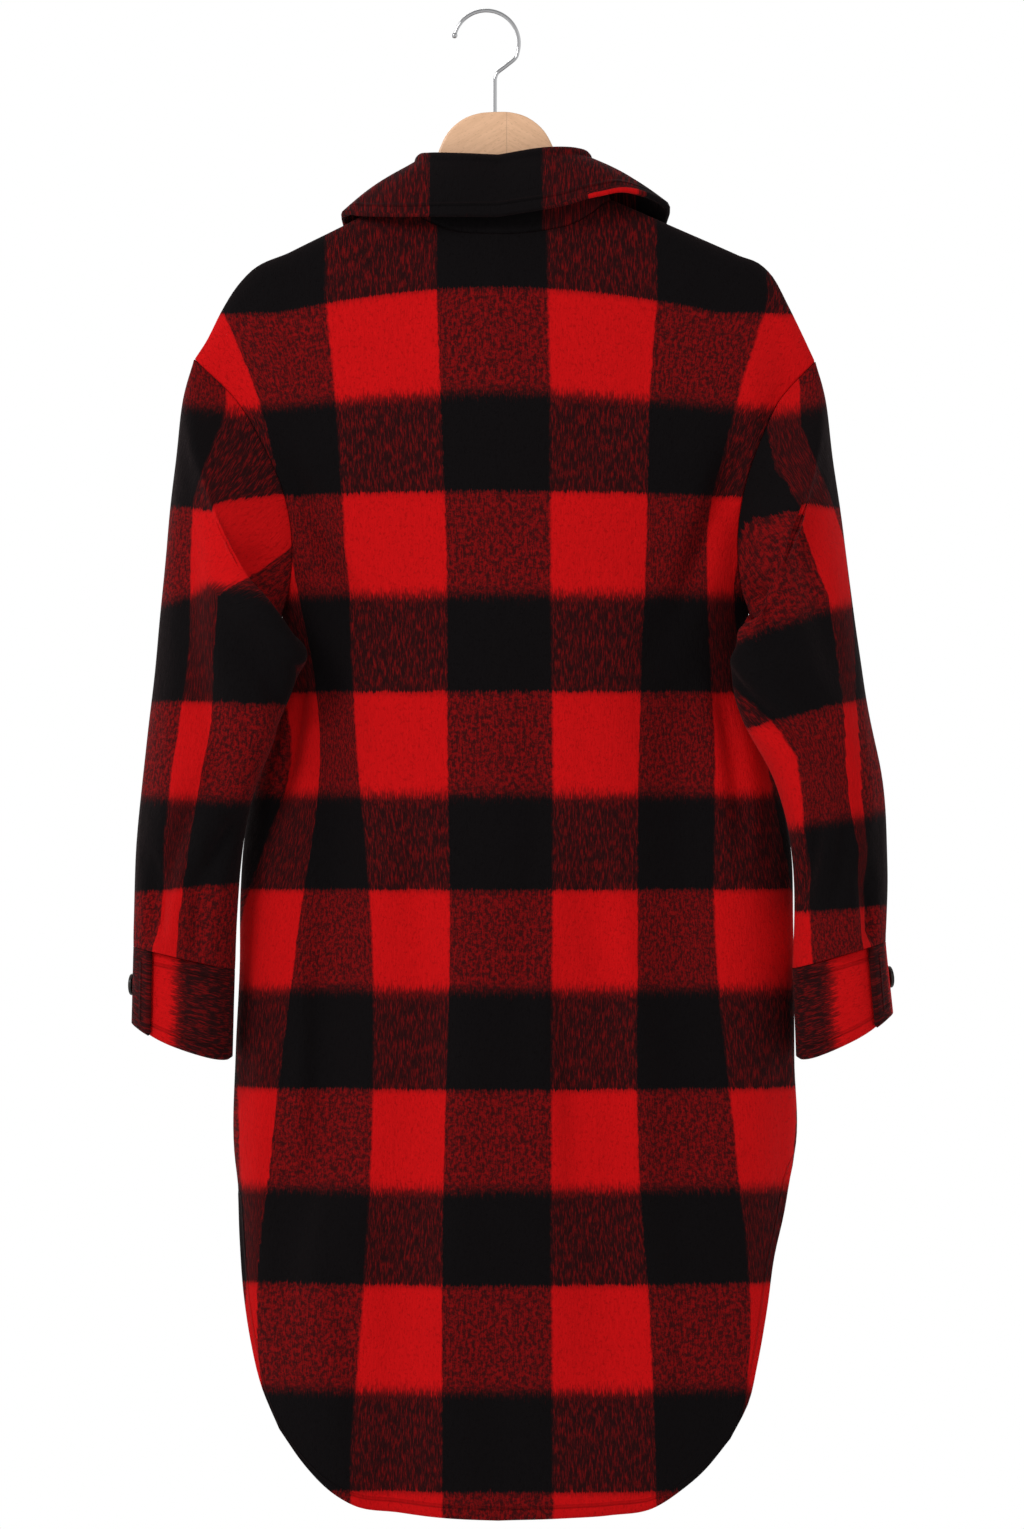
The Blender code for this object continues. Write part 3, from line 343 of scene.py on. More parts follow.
def front_checks(x, down):
    """The same for the fronts, whose stripes run straight and meet the back's rows."""
    return np.stack((0.5 - x / STRIPE, row_at(down)), axis=-1)


# The same edges on the back of each sleeve, counted from its outer side
SLEEVE_STRIPES = {
    "left": table(
        "down e1 e2",
        (0.333, 0.224, 0.120), (0.360, 0.234, 0.130), (0.405, 0.250, 0.150),
        (0.434, 0.253, 0.162), (0.462, 0.255, 0.189), (0.483, 0.255, 0.228),
        (0.524, 0.255, 0.232), (0.598, 0.262, 0.238), (0.647, 0.268, 0.247),
        (0.688, 0.274, 0.253), (0.745, 0.280, 0.261), (0.786, 0.283, 0.264)),
    "right": table(
        "down e1 e2 e3",
        (0.344, 0.248, 0.222, 0.130), (0.376, 0.261, 0.227, 0.140), (0.401, 0.272, 0.243, 0.150),
        (0.442, 0.285, 0.257, 0.155), (0.483, 0.289, 0.272, 0.160), (0.524, 0.292, 0.279, 0.170),
        (0.565, 0.292, 0.282, 0.194), (0.594, 0.293, 0.284, 0.227), (0.614, 0.295, 0.286, 0.243),
        (0.647, 0.297, 0.290, 0.248), (0.688, 0.301, 0.295, 0.250), (0.745, 0.303, 0.298, 0.255),
        (0.786, 0.305, 0.300, 0.258)),
}
# The rows' edges from the second on, at four places across the back of each sleeve
SLEEVE_ROWS = {
    "left": table(
        "outer second third inner",
        (0.253, 0.256, 0.260, 0.262), (0.324, 0.334, 0.343, 0.345), (0.409, 0.414, 0.393, 0.434),
        (0.491, 0.472, 0.479, 0.506), (0.569, 0.569, 0.571, 0.573), (0.647, 0.648, 0.650, 0.651),
        (0.725, 0.723, 0.720, 0.718), (0.799, 0.799, 0.798, 0.797)),
    "right": table(
        "outer second third inner",
        (0.247, 0.252, 0.257, 0.262), (0.323, 0.336, 0.342, 0.345), (0.411, 0.407, 0.419, 0.470),
        (0.488, 0.498, 0.509, 0.524), (0.566, 0.573, 0.583, 0.591), (0.659, 0.664, 0.669, 0.673),
        (0.736, 0.738, 0.740, 0.741), (0.811, 0.812, 0.814, 0.815)),
}
# The one row edge that shows on each cuff, how flat the cuff is, and its stripes
CUFF_ROW_EDGE = {"left": 0.265, "right": 0.274}
CUFF_FLATNESS = 0.85
CUFF_STRIPES = (1.08, 1.92)
# Where the stripes' edges cross the collar, and the rows at its parts' first and last lines
COLLAR_STRIPES_X = (0.145, 0.056, -0.037, -0.116, -0.20)
STAND_ROWS_SHOWN = (-0.32, -0.04)
FALL_ROWS_SHOWN = (-0.04, -0.88)


def edge_x(side, down):
    """Half width of a body panel at a height."""
    return smooth(down, EDGE[side]["down"], EDGE[side]["x"])


def half_girth(side, down):
    """Half width at which the back would meet the front, armhole or not."""
    behind_armhole = smooth(down, GIRTH[side]["down"], GIRTH[side]["x"])
    foot = edge_x(side, FOOT[side]) + HEM_FLARE * (down - FOOT[side])
    return np.where(down < UNDERARM[side], behind_armhole,
                    np.where(down < FOOT[side], edge_x(side, down), foot))


def below_ridge(side, x, down):
    """Distance of a point from the shoulder line, square to that line."""
    line = RIDGE[side]
    step = 0.004
    slope = (down_at(line, x + step) - down_at(line, x - step)) / (2 * step)
    return np.maximum(down - down_at(line, x), 0.0) * np.cos(np.arctan(slope))


def fold_depth(folds, x, down):
    """How far the soft folds draw a panel in."""
    total = np.zeros_like(x)
    for x_top, x_foot, width, depth, start, end in zip(*folds.values()):
        place = x_top + (x_foot - x_top) * np.clip((down - start) / (end - start), 0, 1)
        fade = ease((down - start) / FOLD_FADE) * ease((end - down) / FOLD_FADE)
        total += depth * fade * np.exp(-((x - place) / width) ** 2)
    return total


def stand_off(face, x, down):
    """How far the back or the front stands from the middle plane at a place."""
    reach = smooth(down, BODY_DEPTH["down"], BODY_DEPTH[face])
    result = np.zeros_like(x)
    for side, sign in SIGN.items():
        across = np.abs(x)
        below = below_ridge(side, across, down)
        over = np.clip(below / RIDGE_RADIUS, 0, 1)
        top = RIDGE_RADIUS * np.sqrt(1 - (1 - over) ** 2)
        out = top + (reach - RIDGE_RADIUS) * (1 - np.exp(-below / DEPTH_RUN))
        share = np.clip(across / half_girth(side, down), 0, 1)
        girth = np.sqrt(1 - share ** GIRTH_POWER)
        drawn = fold_depth(FOLDS[face], x, down)
        result = np.where(x * sign >= 0, (out - drawn) * girth, result)
    return result


def panel_rows():
    """Where a body panel's rows lie, from 0 at its top to 1 at its foot."""
    return np.concatenate((ARMHOLE_ROWS, np.linspace(UNDERARM_ROW, FOOT_ROW, SEAM_ROWS + 1)[1:],
                           np.linspace(FOOT_ROW, 1.0, HEM_ROWS + 1)[1:]))


def shoulder_line(side, places):
    """Points of the shoulder seam, from the tip to the neck point."""
    outer = EDGE[side]["x"][0]
    f = (np.array(places) - NECK_SHARE) / (1 - NECK_SHARE)
    x = NECK_POINT[side] + f * (outer - NECK_POINT[side])
    down = down_at(RIDGE[side], x)
    down[0] = TIP[side]
    return np.column_stack((SIGN[side] * x, down))


def fill_panel(top, bottom, first, last, rows, across):
    """Points of a flat panel between its four edges."""
    t = rows[:, None, None]
    s = across[None, :, None]
    corners = ((1 - t) * ((1 - s) * top[0] + s * top[-1])
               + t * ((1 - s) * bottom[0] + s * bottom[-1]))
    return ((1 - t) * top[None] + t * bottom[None]
            + (1 - s) * first[:, None] + s * last[:, None] - corners)


def fan_out(flat, rows, places):
    """Lean the columns outward just below the shoulders, where the neck seam turns down."""
    lean = FAN * rows * np.exp(-rows / FAN_RUN)
    flat[..., 0] += np.sign(flat[..., 0]) * np.outer(lean, np.sin(np.pi * np.abs(places)))


def finer(values, parts, extra=()):
    """A list of places with each step cut into equal parts, and some places added."""
    at = np.linspace(0, len(values) - 1, (len(values) - 1) * parts + 1)
    made = np.interp(at, np.arange(len(values)), values)
    return np.unique(np.concatenate((made, extra)))


# Creases laid over the forms: place, slant from upright in degrees, length, width and
# depth. A negative depth is a ridge. On a sleeve the place is the turn: 0 on the outer
# side, 90 at the back and 180 on the inner side
BACK_CREASES = table(
    "x down slant length width depth",
    (0.150, 0.420, 24, 0.090, 0.010, 0.0045), (0.128, 0.470, 34, 0.120, 0.012, 0.0030),
    (0.118, 0.455, 30, 0.100, 0.011, -0.0020), (-0.176, 0.420, -20, 0.100, 0.011, 0.0050),
    (-0.150, 0.490, -30, 0.110, 0.013, 0.0030), (0.060, 0.780, 4, 0.260, 0.014, 0.0028),
    (0.028, 0.930, -3, 0.300, 0.016, -0.0022), (-0.030, 0.700, -3, 0.330, 0.015, 0.0026),
    (-0.062, 0.890, 3, 0.220, 0.012, 0.0030), (-0.110, 0.820, 5, 0.280, 0.013, -0.0034),
    (0.150, 0.900, -4, 0.240, 0.012, 0.0035), (-0.150, 1.080, 2, 0.180, 0.013, 0.0036),
    (0.120, 1.100, 6, 0.150, 0.014, 0.0030), (0.040, 0.330, 60, 0.120, 0.020, 0.0012),
    (-0.070, 0.360, -50, 0.130, 0.018, 0.0014), (0.000, 1.150, 2, 0.120, 0.018, 0.0024),
    (-0.195, 0.620, 8, 0.130, 0.009, 0.0040), (0.168, 0.600, -10, 0.120, 0.008, 0.0038))
FRONT_CREASES = table(
    "x down slant length width depth",
    (0.140, 0.440, 22, 0.100, 0.011, 0.0045), (0.105, 0.500, 32, 0.110, 0.012, 0.0028),
    (-0.160, 0.430, -24, 0.100, 0.011, 0.0045), (-0.128, 0.520, -30, 0.110, 0.012, 0.0030),
    (0.070, 0.760, 3, 0.300, 0.014, 0.0028), (0.036, 0.960, -3, 0.260, 0.016, -0.0022),
    (-0.052, 0.700, -3, 0.310, 0.015, 0.0026), (-0.108, 0.880, 3, 0.240, 0.012, 0.0032),
    (0.140, 0.930, -4, 0.220, 0.012, 0.0036), (-0.150, 1.050, 3, 0.180, 0.013, 0.0034),
    (0.090, 0.330, 48, 0.110, 0.016, 0.0014), (-0.110, 0.350, -44, 0.120, 0.018, 0.0016))
SLEEVE_CREASES = {
    "left": table(
        "turn down slant length width depth",
        (150, 0.470, -58, 0.080, 0.010, 0.0050), (128, 0.500, -52, 0.100, 0.011, -0.0030),
        (135, 0.555, -40, 0.090, 0.010, 0.0042), (96, 0.600, -20, 0.120, 0.012, 0.0030),
        (60, 0.520, -8, 0.200, 0.012, 0.0034), (75, 0.690, 14, 0.130, 0.011, 0.0046),
        (120, 0.700, 30, 0.080, 0.010, 0.0038), (50, 0.730, -12, 0.070, 0.009, 0.0036),
        (105, 0.755, 6, 0.060, 0.008, 0.0040), (300, 0.480, 30, 0.110, 0.012, 0.0036),
        (250, 0.560, 50, 0.090, 0.011, 0.0042), (280, 0.680, -16, 0.120, 0.012, 0.0040),
        (44, 0.757, 0, 0.090, 0.005, 0.0030), (180, 0.500, 0, 0.080, 0.020, -0.0036)),
    "right": table(
        "turn down slant length width depth",
        (152, 0.480, 60, 0.080, 0.010, 0.0050), (130, 0.520, 54, 0.100, 0.011, -0.0030),
        (132, 0.580, 42, 0.100, 0.010, 0.0044), (92, 0.560, 16, 0.140, 0.012, 0.0032),
        (64, 0.480, 8, 0.160, 0.012, 0.0030), (84, 0.680, -12, 0.120, 0.011, 0.0044),
        (126, 0.690, -26, 0.090, 0.010, 0.0036), (56, 0.735, 12, 0.070, 0.009, 0.0034),
        (300, 0.470, -28, 0.120, 0.012, 0.0036), (252, 0.580, -48, 0.090, 0.011, 0.0042),
        (285, 0.690, 14, 0.120, 0.012, 0.0040), (47, 0.760, 0, 0.090, 0.005, 0.0030)),
}
SLEEVE_ROUND = 0.043
SEAM_SINK = 0.0009
EDGE_BULGE = 0.35
# How far from a seam the cloth starts to lie freely
CALM_BY_SEAM = 0.02
CALM_BY_SHOULDER = 0.03
CALM_BY_ARMHOLE = 0.04
CALM_BY_CUFF = 0.012
CALM_BELOW_SLEEVE = 0.010
CALM_BY_ROLL = 0.03
CALM_BY_BUTTONS = 0.05
WAVE_DEPTH = 0.0014
CUFF_WAVE_DEPTH = 0.0007
FALL_WAVE_DEPTH = 0.0008
CREASE_DEPTH = 1.8
CREASE_BOW = 0.10
# Where creases would turn the cloth further than this (a cosine), they are eased in rounds,
# together with what lies near
STEEPEST = 0.6
PRESS_ROUNDS = 14
EASED = 0.4
NEAR_ROUNDS, NEAR_SHARE = 4, 0.85


def crease_depth(creases, x, down):
    """How far the creases draw the cloth in at each place."""
    total = np.zeros_like(x)
    for at_x, at_down, slant, length, width, depth in zip(*creases.values()):
        c, s = math.cos(math.radians(slant)), math.sin(math.radians(slant))
        across = (x - at_x) * c + (down - at_down) * s
        along = (down - at_down) * c - (x - at_x) * s
        bow = CREASE_BOW * along ** 2 / length
        total += depth * np.exp(-((across - bow) / width) ** 2 - (2 * along / length) ** 4)
    return total


def waves(a, b, seed):
    """A soft unevenness of the cloth, about 1 either way: long waves and half as deep short ones."""
    flat = [noise.noise(Vector((12 * p, 5 * q, seed)))
            + noise.noise(Vector((34 * p, 17 * q, seed + 4))) / 2
            for p, q in zip(a.ravel(), b.ravel())]
    return np.array(flat).reshape(a.shape)


def with_near(marks):
    """Marks on a grid, passed on to their neighbours and fading as they go."""
    for _ in range(NEAR_ROUNDS):
        marks = np.maximum.reduce([marks] + [NEAR_SHARE * np.roll(marks, step, axis)
                                             for step in (-1, 1) for axis in (0, 1)])
    return marks


class Cloth:
    """A piece of cloth: its outer face, its wall, and where each point lies on the check."""

    def __init__(self, name, points, wall, outward, checks, round_=False, free=(), stitch=None):
        self.name = name
        self.points = np.array(points, float)
        self.wall = wall
        self.round = round_
        self.checks = checks
        self.free = free
        self.stitch = np.full(self.points.shape[:2], 1.0) if stitch is None else stitch
        self.outward = outward
        self.settle()

    def settle(self):
        """Normals and wall vectors for the points as they are now."""
        along = (np.roll(self.points, -1, axis=1) - np.roll(self.points, 1, axis=1)
                 if self.round else np.gradient(self.points, axis=1))
        normals = np.cross(along, np.gradient(self.points, axis=0))
        normals /= np.maximum(np.linalg.norm(normals, axis=2, keepdims=True), 1e-12)
        self.flip = np.sum(normals * self.outward) < 0
        self.normals = -normals if self.flip else normals
        self.inner = -self.wall * self.normals

    def press(self, depth):
        """Move the points in along their normals, less where the cloth would fold over."""
        form, way = self.points, self.normals
        for _ in range(PRESS_ROUNDS):
            self.points = form - way * depth[..., None]
            self.settle()
            steep = ((way * self.normals).sum(axis=2) < STEEPEST).astype(float)
            if not steep.any():
                break
            depth = depth * (1 - EASED * with_near(steep))

    def rim(self):
        """Rows and columns of the points on the piece's edges."""
        rows, columns = self.points.shape[:2]
        return [(row, column) for row in range(rows) for column in range(columns)
                if row in (0, rows - 1) or (column in (0, columns - 1) and not self.round)]

    def inward(self, row, column):
        """Unit direction along the cloth from an edge point into the piece."""
        rows, columns = self.points.shape[:2]
        near_row = min(max(row, 1), rows - 2)
        near_column = column if self.round else min(max(column, 1), columns - 2)
        way = self.points[near_row, near_column] - self.points[row, column]
        return way / max(np.linalg.norm(way), 1e-9)

    def edge_line(self, name):
        """Rows and columns along one edge, with the neighbours just inside it."""
        rows, columns = self.points.shape[:2]
        if name in ("top", "bottom"):
            row, near = (0, 1) if name == "top" else (rows - 1, rows - 2)
            here = np.arange(columns)
            return np.full(columns, row), here, np.full(columns, near), here
        column, near = (0, 1) if name == "first" else (columns - 1, columns - 2)
        here = np.arange(rows)
        return here, np.full(rows, column), here, np.full(rows, near)

    def build(self, made):
        """The closed wall with rounded free edges, and the check laid on it."""
        rows, columns = self.points.shape[:2]
        count = rows * columns
        numbers = np.arange(count).reshape(rows, columns)
        places = [self.points.reshape(-1, 3), (self.points + self.inner).reshape(-1, 3)]
        stitch = [self.stitch.ravel(), self.stitch.ravel()]
        wrap = np.vstack((numbers.T, numbers[:, :1].T)).T if self.round else numbers
        check_numbers = np.arange(rows * self.checks.shape[1]).reshape(rows, -1)
        quads, marks = [], []

        def add(a, b, c, d, ta, tb, tc, td):
            quads.append(np.stack((a, b, c, d), axis=-1).reshape(-1, 4))
            marks.append(np.stack((ta, tb, tc, td), axis=-1).reshape(-1, 4))

        for offset, back in ((0, self.flip), (count, not self.flip)):
            n, t = wrap + offset, check_numbers
            corners = [n[:-1, :-1], n[:-1, 1:], n[1:, 1:], n[1:, :-1]]
            marked = [t[:-1, :-1], t[:-1, 1:], t[1:, 1:], t[1:, :-1]]
            if not back:
                corners, marked = corners[::-1], marked[::-1]
            add(*corners, *marked)
        used = 2 * count
        for name in ("top", "bottom") if self.round else ("top", "bottom", "first", "last"):
            row, column, near_row, near_column = self.edge_line(name)
            outer = self.points[row, column]
            middle = outer + self.inner[row, column] / 2
            way = outer - self.points[near_row, near_column]
            way /= np.maximum(np.linalg.norm(way, axis=1, keepdims=True), 1e-9)
            bulge = EDGE_BULGE * self.wall if name in self.free else 0.0
            places.append(middle + bulge * way)
            stitch.append(self.stitch[row, column])
            mids = used + np.arange(len(row))
            used += len(row)
            n, t = numbers[row, column], check_numbers[row, column]
            if self.round:
                n, mids = np.append(n, n[0]), np.append(mids, mids[0])
                t = check_numbers[row[0]]
            forward = (name in ("top", "last")) != self.flip
            for low, high in ((n, mids), (mids, n + count)):
                corners = [low[:-1], low[1:], high[1:], high[:-1]]
                marked = [t[:-1], t[1:], t[1:], t[:-1]]
                if not forward:
                    corners, marked = corners[::-1], marked[::-1]
                add(*corners, *marked)
        quads, marks = np.vstack(quads), np.vstack(marks)
        mesh = bpy.data.meshes.new("wool_" + self.name)
        mesh.from_pydata((np.vstack(places) + (CENTRE_X, 0, 0)).tolist(), [], quads.tolist())
        check_map = mesh.uv_layers.new(name="check")
        flat = self.checks.reshape(-1, 2)[marks.ravel()]
        check_map.data.foreach_set("uv", flat.astype(np.float32).ravel())
        edge = mesh.attributes.new("edge", "FLOAT", "POINT")
        edge.data.foreach_set("value", np.concatenate(stitch).astype(np.float32))
        mesh.update()
        mesh.shade_smooth()
        mesh.materials.append(made)
        return add_object("wool_" + self.name, mesh)


def sew(pieces):
    """Join pieces at the points they share: one wall direction there, parted by the seam gap."""
    same_place, cell_size = 2e-5, 1e-3
    softness, longest = 0.08, 1.1
    edges = [(piece, row, column) for piece in pieces for row, column in piece.rim()]
    places = np.array([piece.points[row, column] for piece, row, column in edges])
    cells = {}
    for number, place in enumerate(places):
        cells.setdefault(tuple(np.floor(place / cell_size).astype(int)), []).append(number)
    done = set()
    for first, place in enumerate(places):
        if first in done:
            continue
        cell = np.floor(place / cell_size).astype(int)
        near = [n for move in np.ndindex(3, 3, 3) for n in cells.get(tuple(cell + move - 1), ())]
        group = [n for n in near if np.linalg.norm(places[n] - place) < same_place]
        done.update(group)
        if len(group) < 2:
            continue
        meeting = [edges[i] for i in group]
        normals = np.array([piece.normals[row, column] for piece, row, column in meeting])
        system = normals @ normals.T + softness * np.eye(len(meeting))
        wall_way = -normals.T @ np.linalg.solve(system, np.ones(len(meeting)))
        wall_way *= min(1.0, longest / np.linalg.norm(wall_way))
        ways = np.array([piece.inward(row, column) for piece, row, column in meeting])
        for number, (piece, row, column) in enumerate(meeting):
            apart = ways[number] - np.delete(ways, number, axis=0).mean(axis=0)
            apart /= max(np.linalg.norm(apart), 1e-9)
            piece.inner[row, column] = wall_way * piece.wall
            piece.points[row, column] = place + apart * SEAM_GAP / 2 + wall_way * SEAM_SINK


def walk(points, axis):
    """Distance along the grid's lines from their first point."""
    steps = np.linalg.norm(np.diff(points, axis=axis), axis=2)
    first = np.zeros_like(steps[:1] if axis == 0 else steps[:, :1])
    return np.concatenate((first, np.cumsum(steps, axis=axis)), axis=axis)


def distances(points):
    """Distance of each point from the top, bottom, first and last edge along the cloth."""
    down, across = walk(points, 0), walk(points, 1)
    return down, down[-1:] - down, across, across[:, -1:] - across


def fade_in(*spans):
    """1 inside a piece, falling to 0 at the seams it is pressed flat by."""
    total = 1.0
    for distance, reach in spans:
        total = total * ease(distance / reach)
    return total


# How much finer than the solids' grids these are, with extra lines close to the edges
BODY_PARTS = 5
SLEEVE_PARTS = 7
ROWS = finer(panel_rows(), BODY_PARTS, (0.0008, 0.992, 0.996))
ARMHOLE_LAST = int(np.searchsorted(ROWS, UNDERARM_ROW - 1e-9))
HALF_PLACES = finer((SHOULDER_PLACES + NECK_PLACES + (0.0,))[::-1], BODY_PARTS, (0.995,))


def row_heights(side):
    """Heights along the side edge of a body panel."""
    return np.interp(ROWS, (0, UNDERARM_ROW, FOOT_ROW, 1),
                     (TIP[side], UNDERARM[side], FOOT[side], CORNER[side]))


def top_edge(places, side, neck):
    """Points of the shoulder and neck seams on one side, at places counted from the centre."""
    sign = SIGN[side]
    shoulder = shoulder_line(side, np.maximum(places, NECK_SHARE))
    x = places / NECK_SHARE * NECK_POINT[side]
    neck_line = np.column_stack((sign * x, down_at(neck, sign * x if neck is BACK_NECK else x)))
    return np.where(places[:, None] >= NECK_SHARE, shoulder, neck_line)


def make_back():
    """The back, in one piece."""
    tops, bottoms, edges = [], [], []
    for side, sign in SIGN.items():
        x, heights = HALF_PLACES * HEM[side]["x"][-1], row_heights(side)
        tops.append(top_edge(HALF_PLACES, side, BACK_NECK))
        bottoms.append(np.column_stack((sign * x, down_at(HEM[side], x))))
        edges.append(np.column_stack((sign * edge_x(side, heights), heights)))
    top, bottom = (np.vstack((left[::-1], right[1:])) for left, right in (tops, bottoms))
    places = np.concatenate((HALF_PLACES[::-1], -HALF_PLACES[1:]))
    flat = fill_panel(top, bottom, *edges, ROWS, (1 - places) / 2)
    fan_out(flat, ROWS, places)
    x, down = flat[..., 0], flat[..., 1]
    points = np.stack((x, stand_off("back", x, down), -down), axis=2)
    from_top, from_bottom, first, last = distances(points)
    below_foot = ROWS[:, None] >= FOOT_ROW
    stitch = np.minimum(from_bottom, np.where(below_foot, np.minimum(first, last), 1.0))
    piece = Cloth("back", points, PANEL_WALL, np.array((0.0, 1.0, 0.0)), back_checks(x, down),
                  free=("bottom",), stitch=stitch)
    calm = fade_in((from_top, CALM_BY_SHOULDER), (first, CALM_BY_SEAM), (last, CALM_BY_SEAM))
    piece.press(calm * (CREASE_DEPTH * crease_depth(BACK_CREASES, x, down)
                        + WAVE_DEPTH * waves(x, down, 1.0)))
    return piece


def make_front(side):
    """One front, from its side seam past the centre."""
    sign, lap, heights = SIGN[side], FRONT_EDGE_LAP, row_heights(side)
    over = np.linspace(0, -LAP_PLACE, 5)[1:]
    places = np.concatenate((HALF_PLACES[::-1], over))
    over_x = over / LAP_PLACE * lap
    neck, hem = FRONT_NECK[side], HEM[side]
    top = np.vstack((top_edge(HALF_PLACES, side, neck)[::-1],
                     np.column_stack((sign * over_x, down_at(neck, over_x)))))
    hem_x = np.where(places >= 0, places * hem["x"][-1], places / LAP_PLACE * lap)
    shorter = hem["down"][0] - FRONT_HEM
    bottom = np.column_stack((sign * hem_x, down_at(hem, np.abs(hem_x)) - shorter))
    run = ease((heights - FOOT[side]) / (CORNER[side] - FOOT[side]))
    first = np.column_stack((sign * (edge_x(side, heights) - FRONT_RISE_AT_SIDE * run),
                             heights - shorter * run))
    bottom[:, 0] -= sign * FRONT_RISE_AT_SIDE * np.clip(places, 0, 1)
    last = np.column_stack((np.full_like(ROWS, -sign * lap),
                            top[-1, 1] + ROWS * (bottom[-1, 1] - top[-1, 1])))
    flat = fill_panel(top, bottom, first, last, ROWS, (1 - places) / (1 + LAP_PLACE))
    fan_out(flat, ROWS, np.maximum(places, 0))
    x, down = flat[..., 0], flat[..., 1]
    out = stand_off("front", x, down)
    if side == "left":
        out = out - ease((2.4 * lap - x) / lap) * (PANEL_WALL + LAP_CLEARANCE)
    points = np.stack((x, -out, -down), axis=2)
    from_top, from_bottom, from_side, from_lap = distances(points)
    below_foot = ROWS[:, None] >= FOOT_ROW
    stitch = np.minimum(np.minimum(from_bottom, from_lap), np.where(below_foot, from_side, 1.0))
    piece = Cloth("front_" + side, points, PANEL_WALL, np.array((0.0, -1.0, 0.0)),
                  front_checks(x, down), free=("bottom", "last"), stitch=stitch)
    calm = fade_in((from_top, CALM_BY_SHOULDER), (from_side, CALM_BY_SEAM),
                   (np.abs(x - sign * 0.005), CALM_BY_BUTTONS))
    piece.press(calm * (CREASE_DEPTH * crease_depth(FRONT_CREASES, x, down)
                        + WAVE_DEPTH * waves(x, down, 2.0)))
    return piece


def section(row, number=0):
    """Centre, half width vector and half depth vector of a sleeve or cuff section."""
    outer, inner = (np.array((row[end + "_x"][number], row[end + "_y"][number],
                              -row[end + "_down"][number])) for end in ("outer", "inner"))
    return (outer + inner) / 2, (outer - inner) / 2, np.array((0, row["half_depth"][number], 0))


def make_sleeve(side, back, front):
    """A sleeve, from the armhole to the cuff."""
    sign = SIGN[side]
    column = 0 if side == "left" else -1
    back_half = back.points[:ARMHOLE_LAST + 1, column]
    front_half = front.points[:ARMHOLE_LAST + 1, 0]
    armhole = np.vstack((back_half, front_half[ARMHOLE_LAST - 1:0:-1])) * (sign, 1, 1)
    lengths = np.linalg.norm(np.diff(back_half, axis=0), axis=1)
    walked = np.concatenate(((0.0,), np.cumsum(lengths))) / lengths.sum()
    even = np.linspace(0, 1, ARMHOLE_LAST + 1)
    rings, turns = [armhole], []
    for number in range(len(SLEEVE[side]["outer_x"])):
        centre, width, depth = section(SLEEVE[side], number)
        f = min(1.0, (number + 1) / 3)
        half_turn = np.pi * ((1 - f) * walked + f * even)
        turn = np.concatenate((half_turn, 2 * np.pi - half_turn[-2:0:-1]))
        turns.append(turn)
        rings.append(centre + width * np.cos(turn)[:, None] + depth * np.sin(turn)[:, None])
    turns.insert(0, turns[0])
    known = np.arange(len(rings), dtype=float)
    wanted = finer(np.concatenate((np.linspace(0, 2, 6), np.linspace(2, known[-1], 8)[1:])),
                   SLEEVE_PARTS, (0.015, 0.035, known[-1] - 0.03, known[-1] - 0.012))
    points = np.array([smooth(at, known, np.array(rings)) for at in wanted])
    turn = np.array([smooth(at, known, np.array(turns)) for at in wanted])
    points *= (sign, 1, 1)
    points, turn = (np.roll(grid, -ARMHOLE_LAST, axis=1) for grid in (points, turn))
    turn[:, :ARMHOLE_LAST] -= 2 * np.pi
    out = points - points.mean(axis=1, keepdims=True)
    piece = Cloth("sleeve_" + side, points, PANEL_WALL, out, sleeve_checks(side, points, turn),
                  round_=True)
    from_top, from_bottom, _, _ = distances(points)
    around, down = np.degrees(turn) % 360, -points[..., 2]
    creases = dict(SLEEVE_CREASES[side])
    creases["turn"] = np.radians(creases["turn"]) * SLEEVE_ROUND
    depth = crease_depth(creases, np.radians(around) * SLEEVE_ROUND, down)
    wavy = waves(np.sin(turn) * SLEEVE_ROUND * 2, down + 0.2 * np.cos(turn), 3.0 + sign)
    piece.press(fade_in((from_top, CALM_BY_ARMHOLE), (from_bottom, CALM_BY_CUFF)) * (
        CREASE_DEPTH * depth + WAVE_DEPTH * wavy))
    return piece


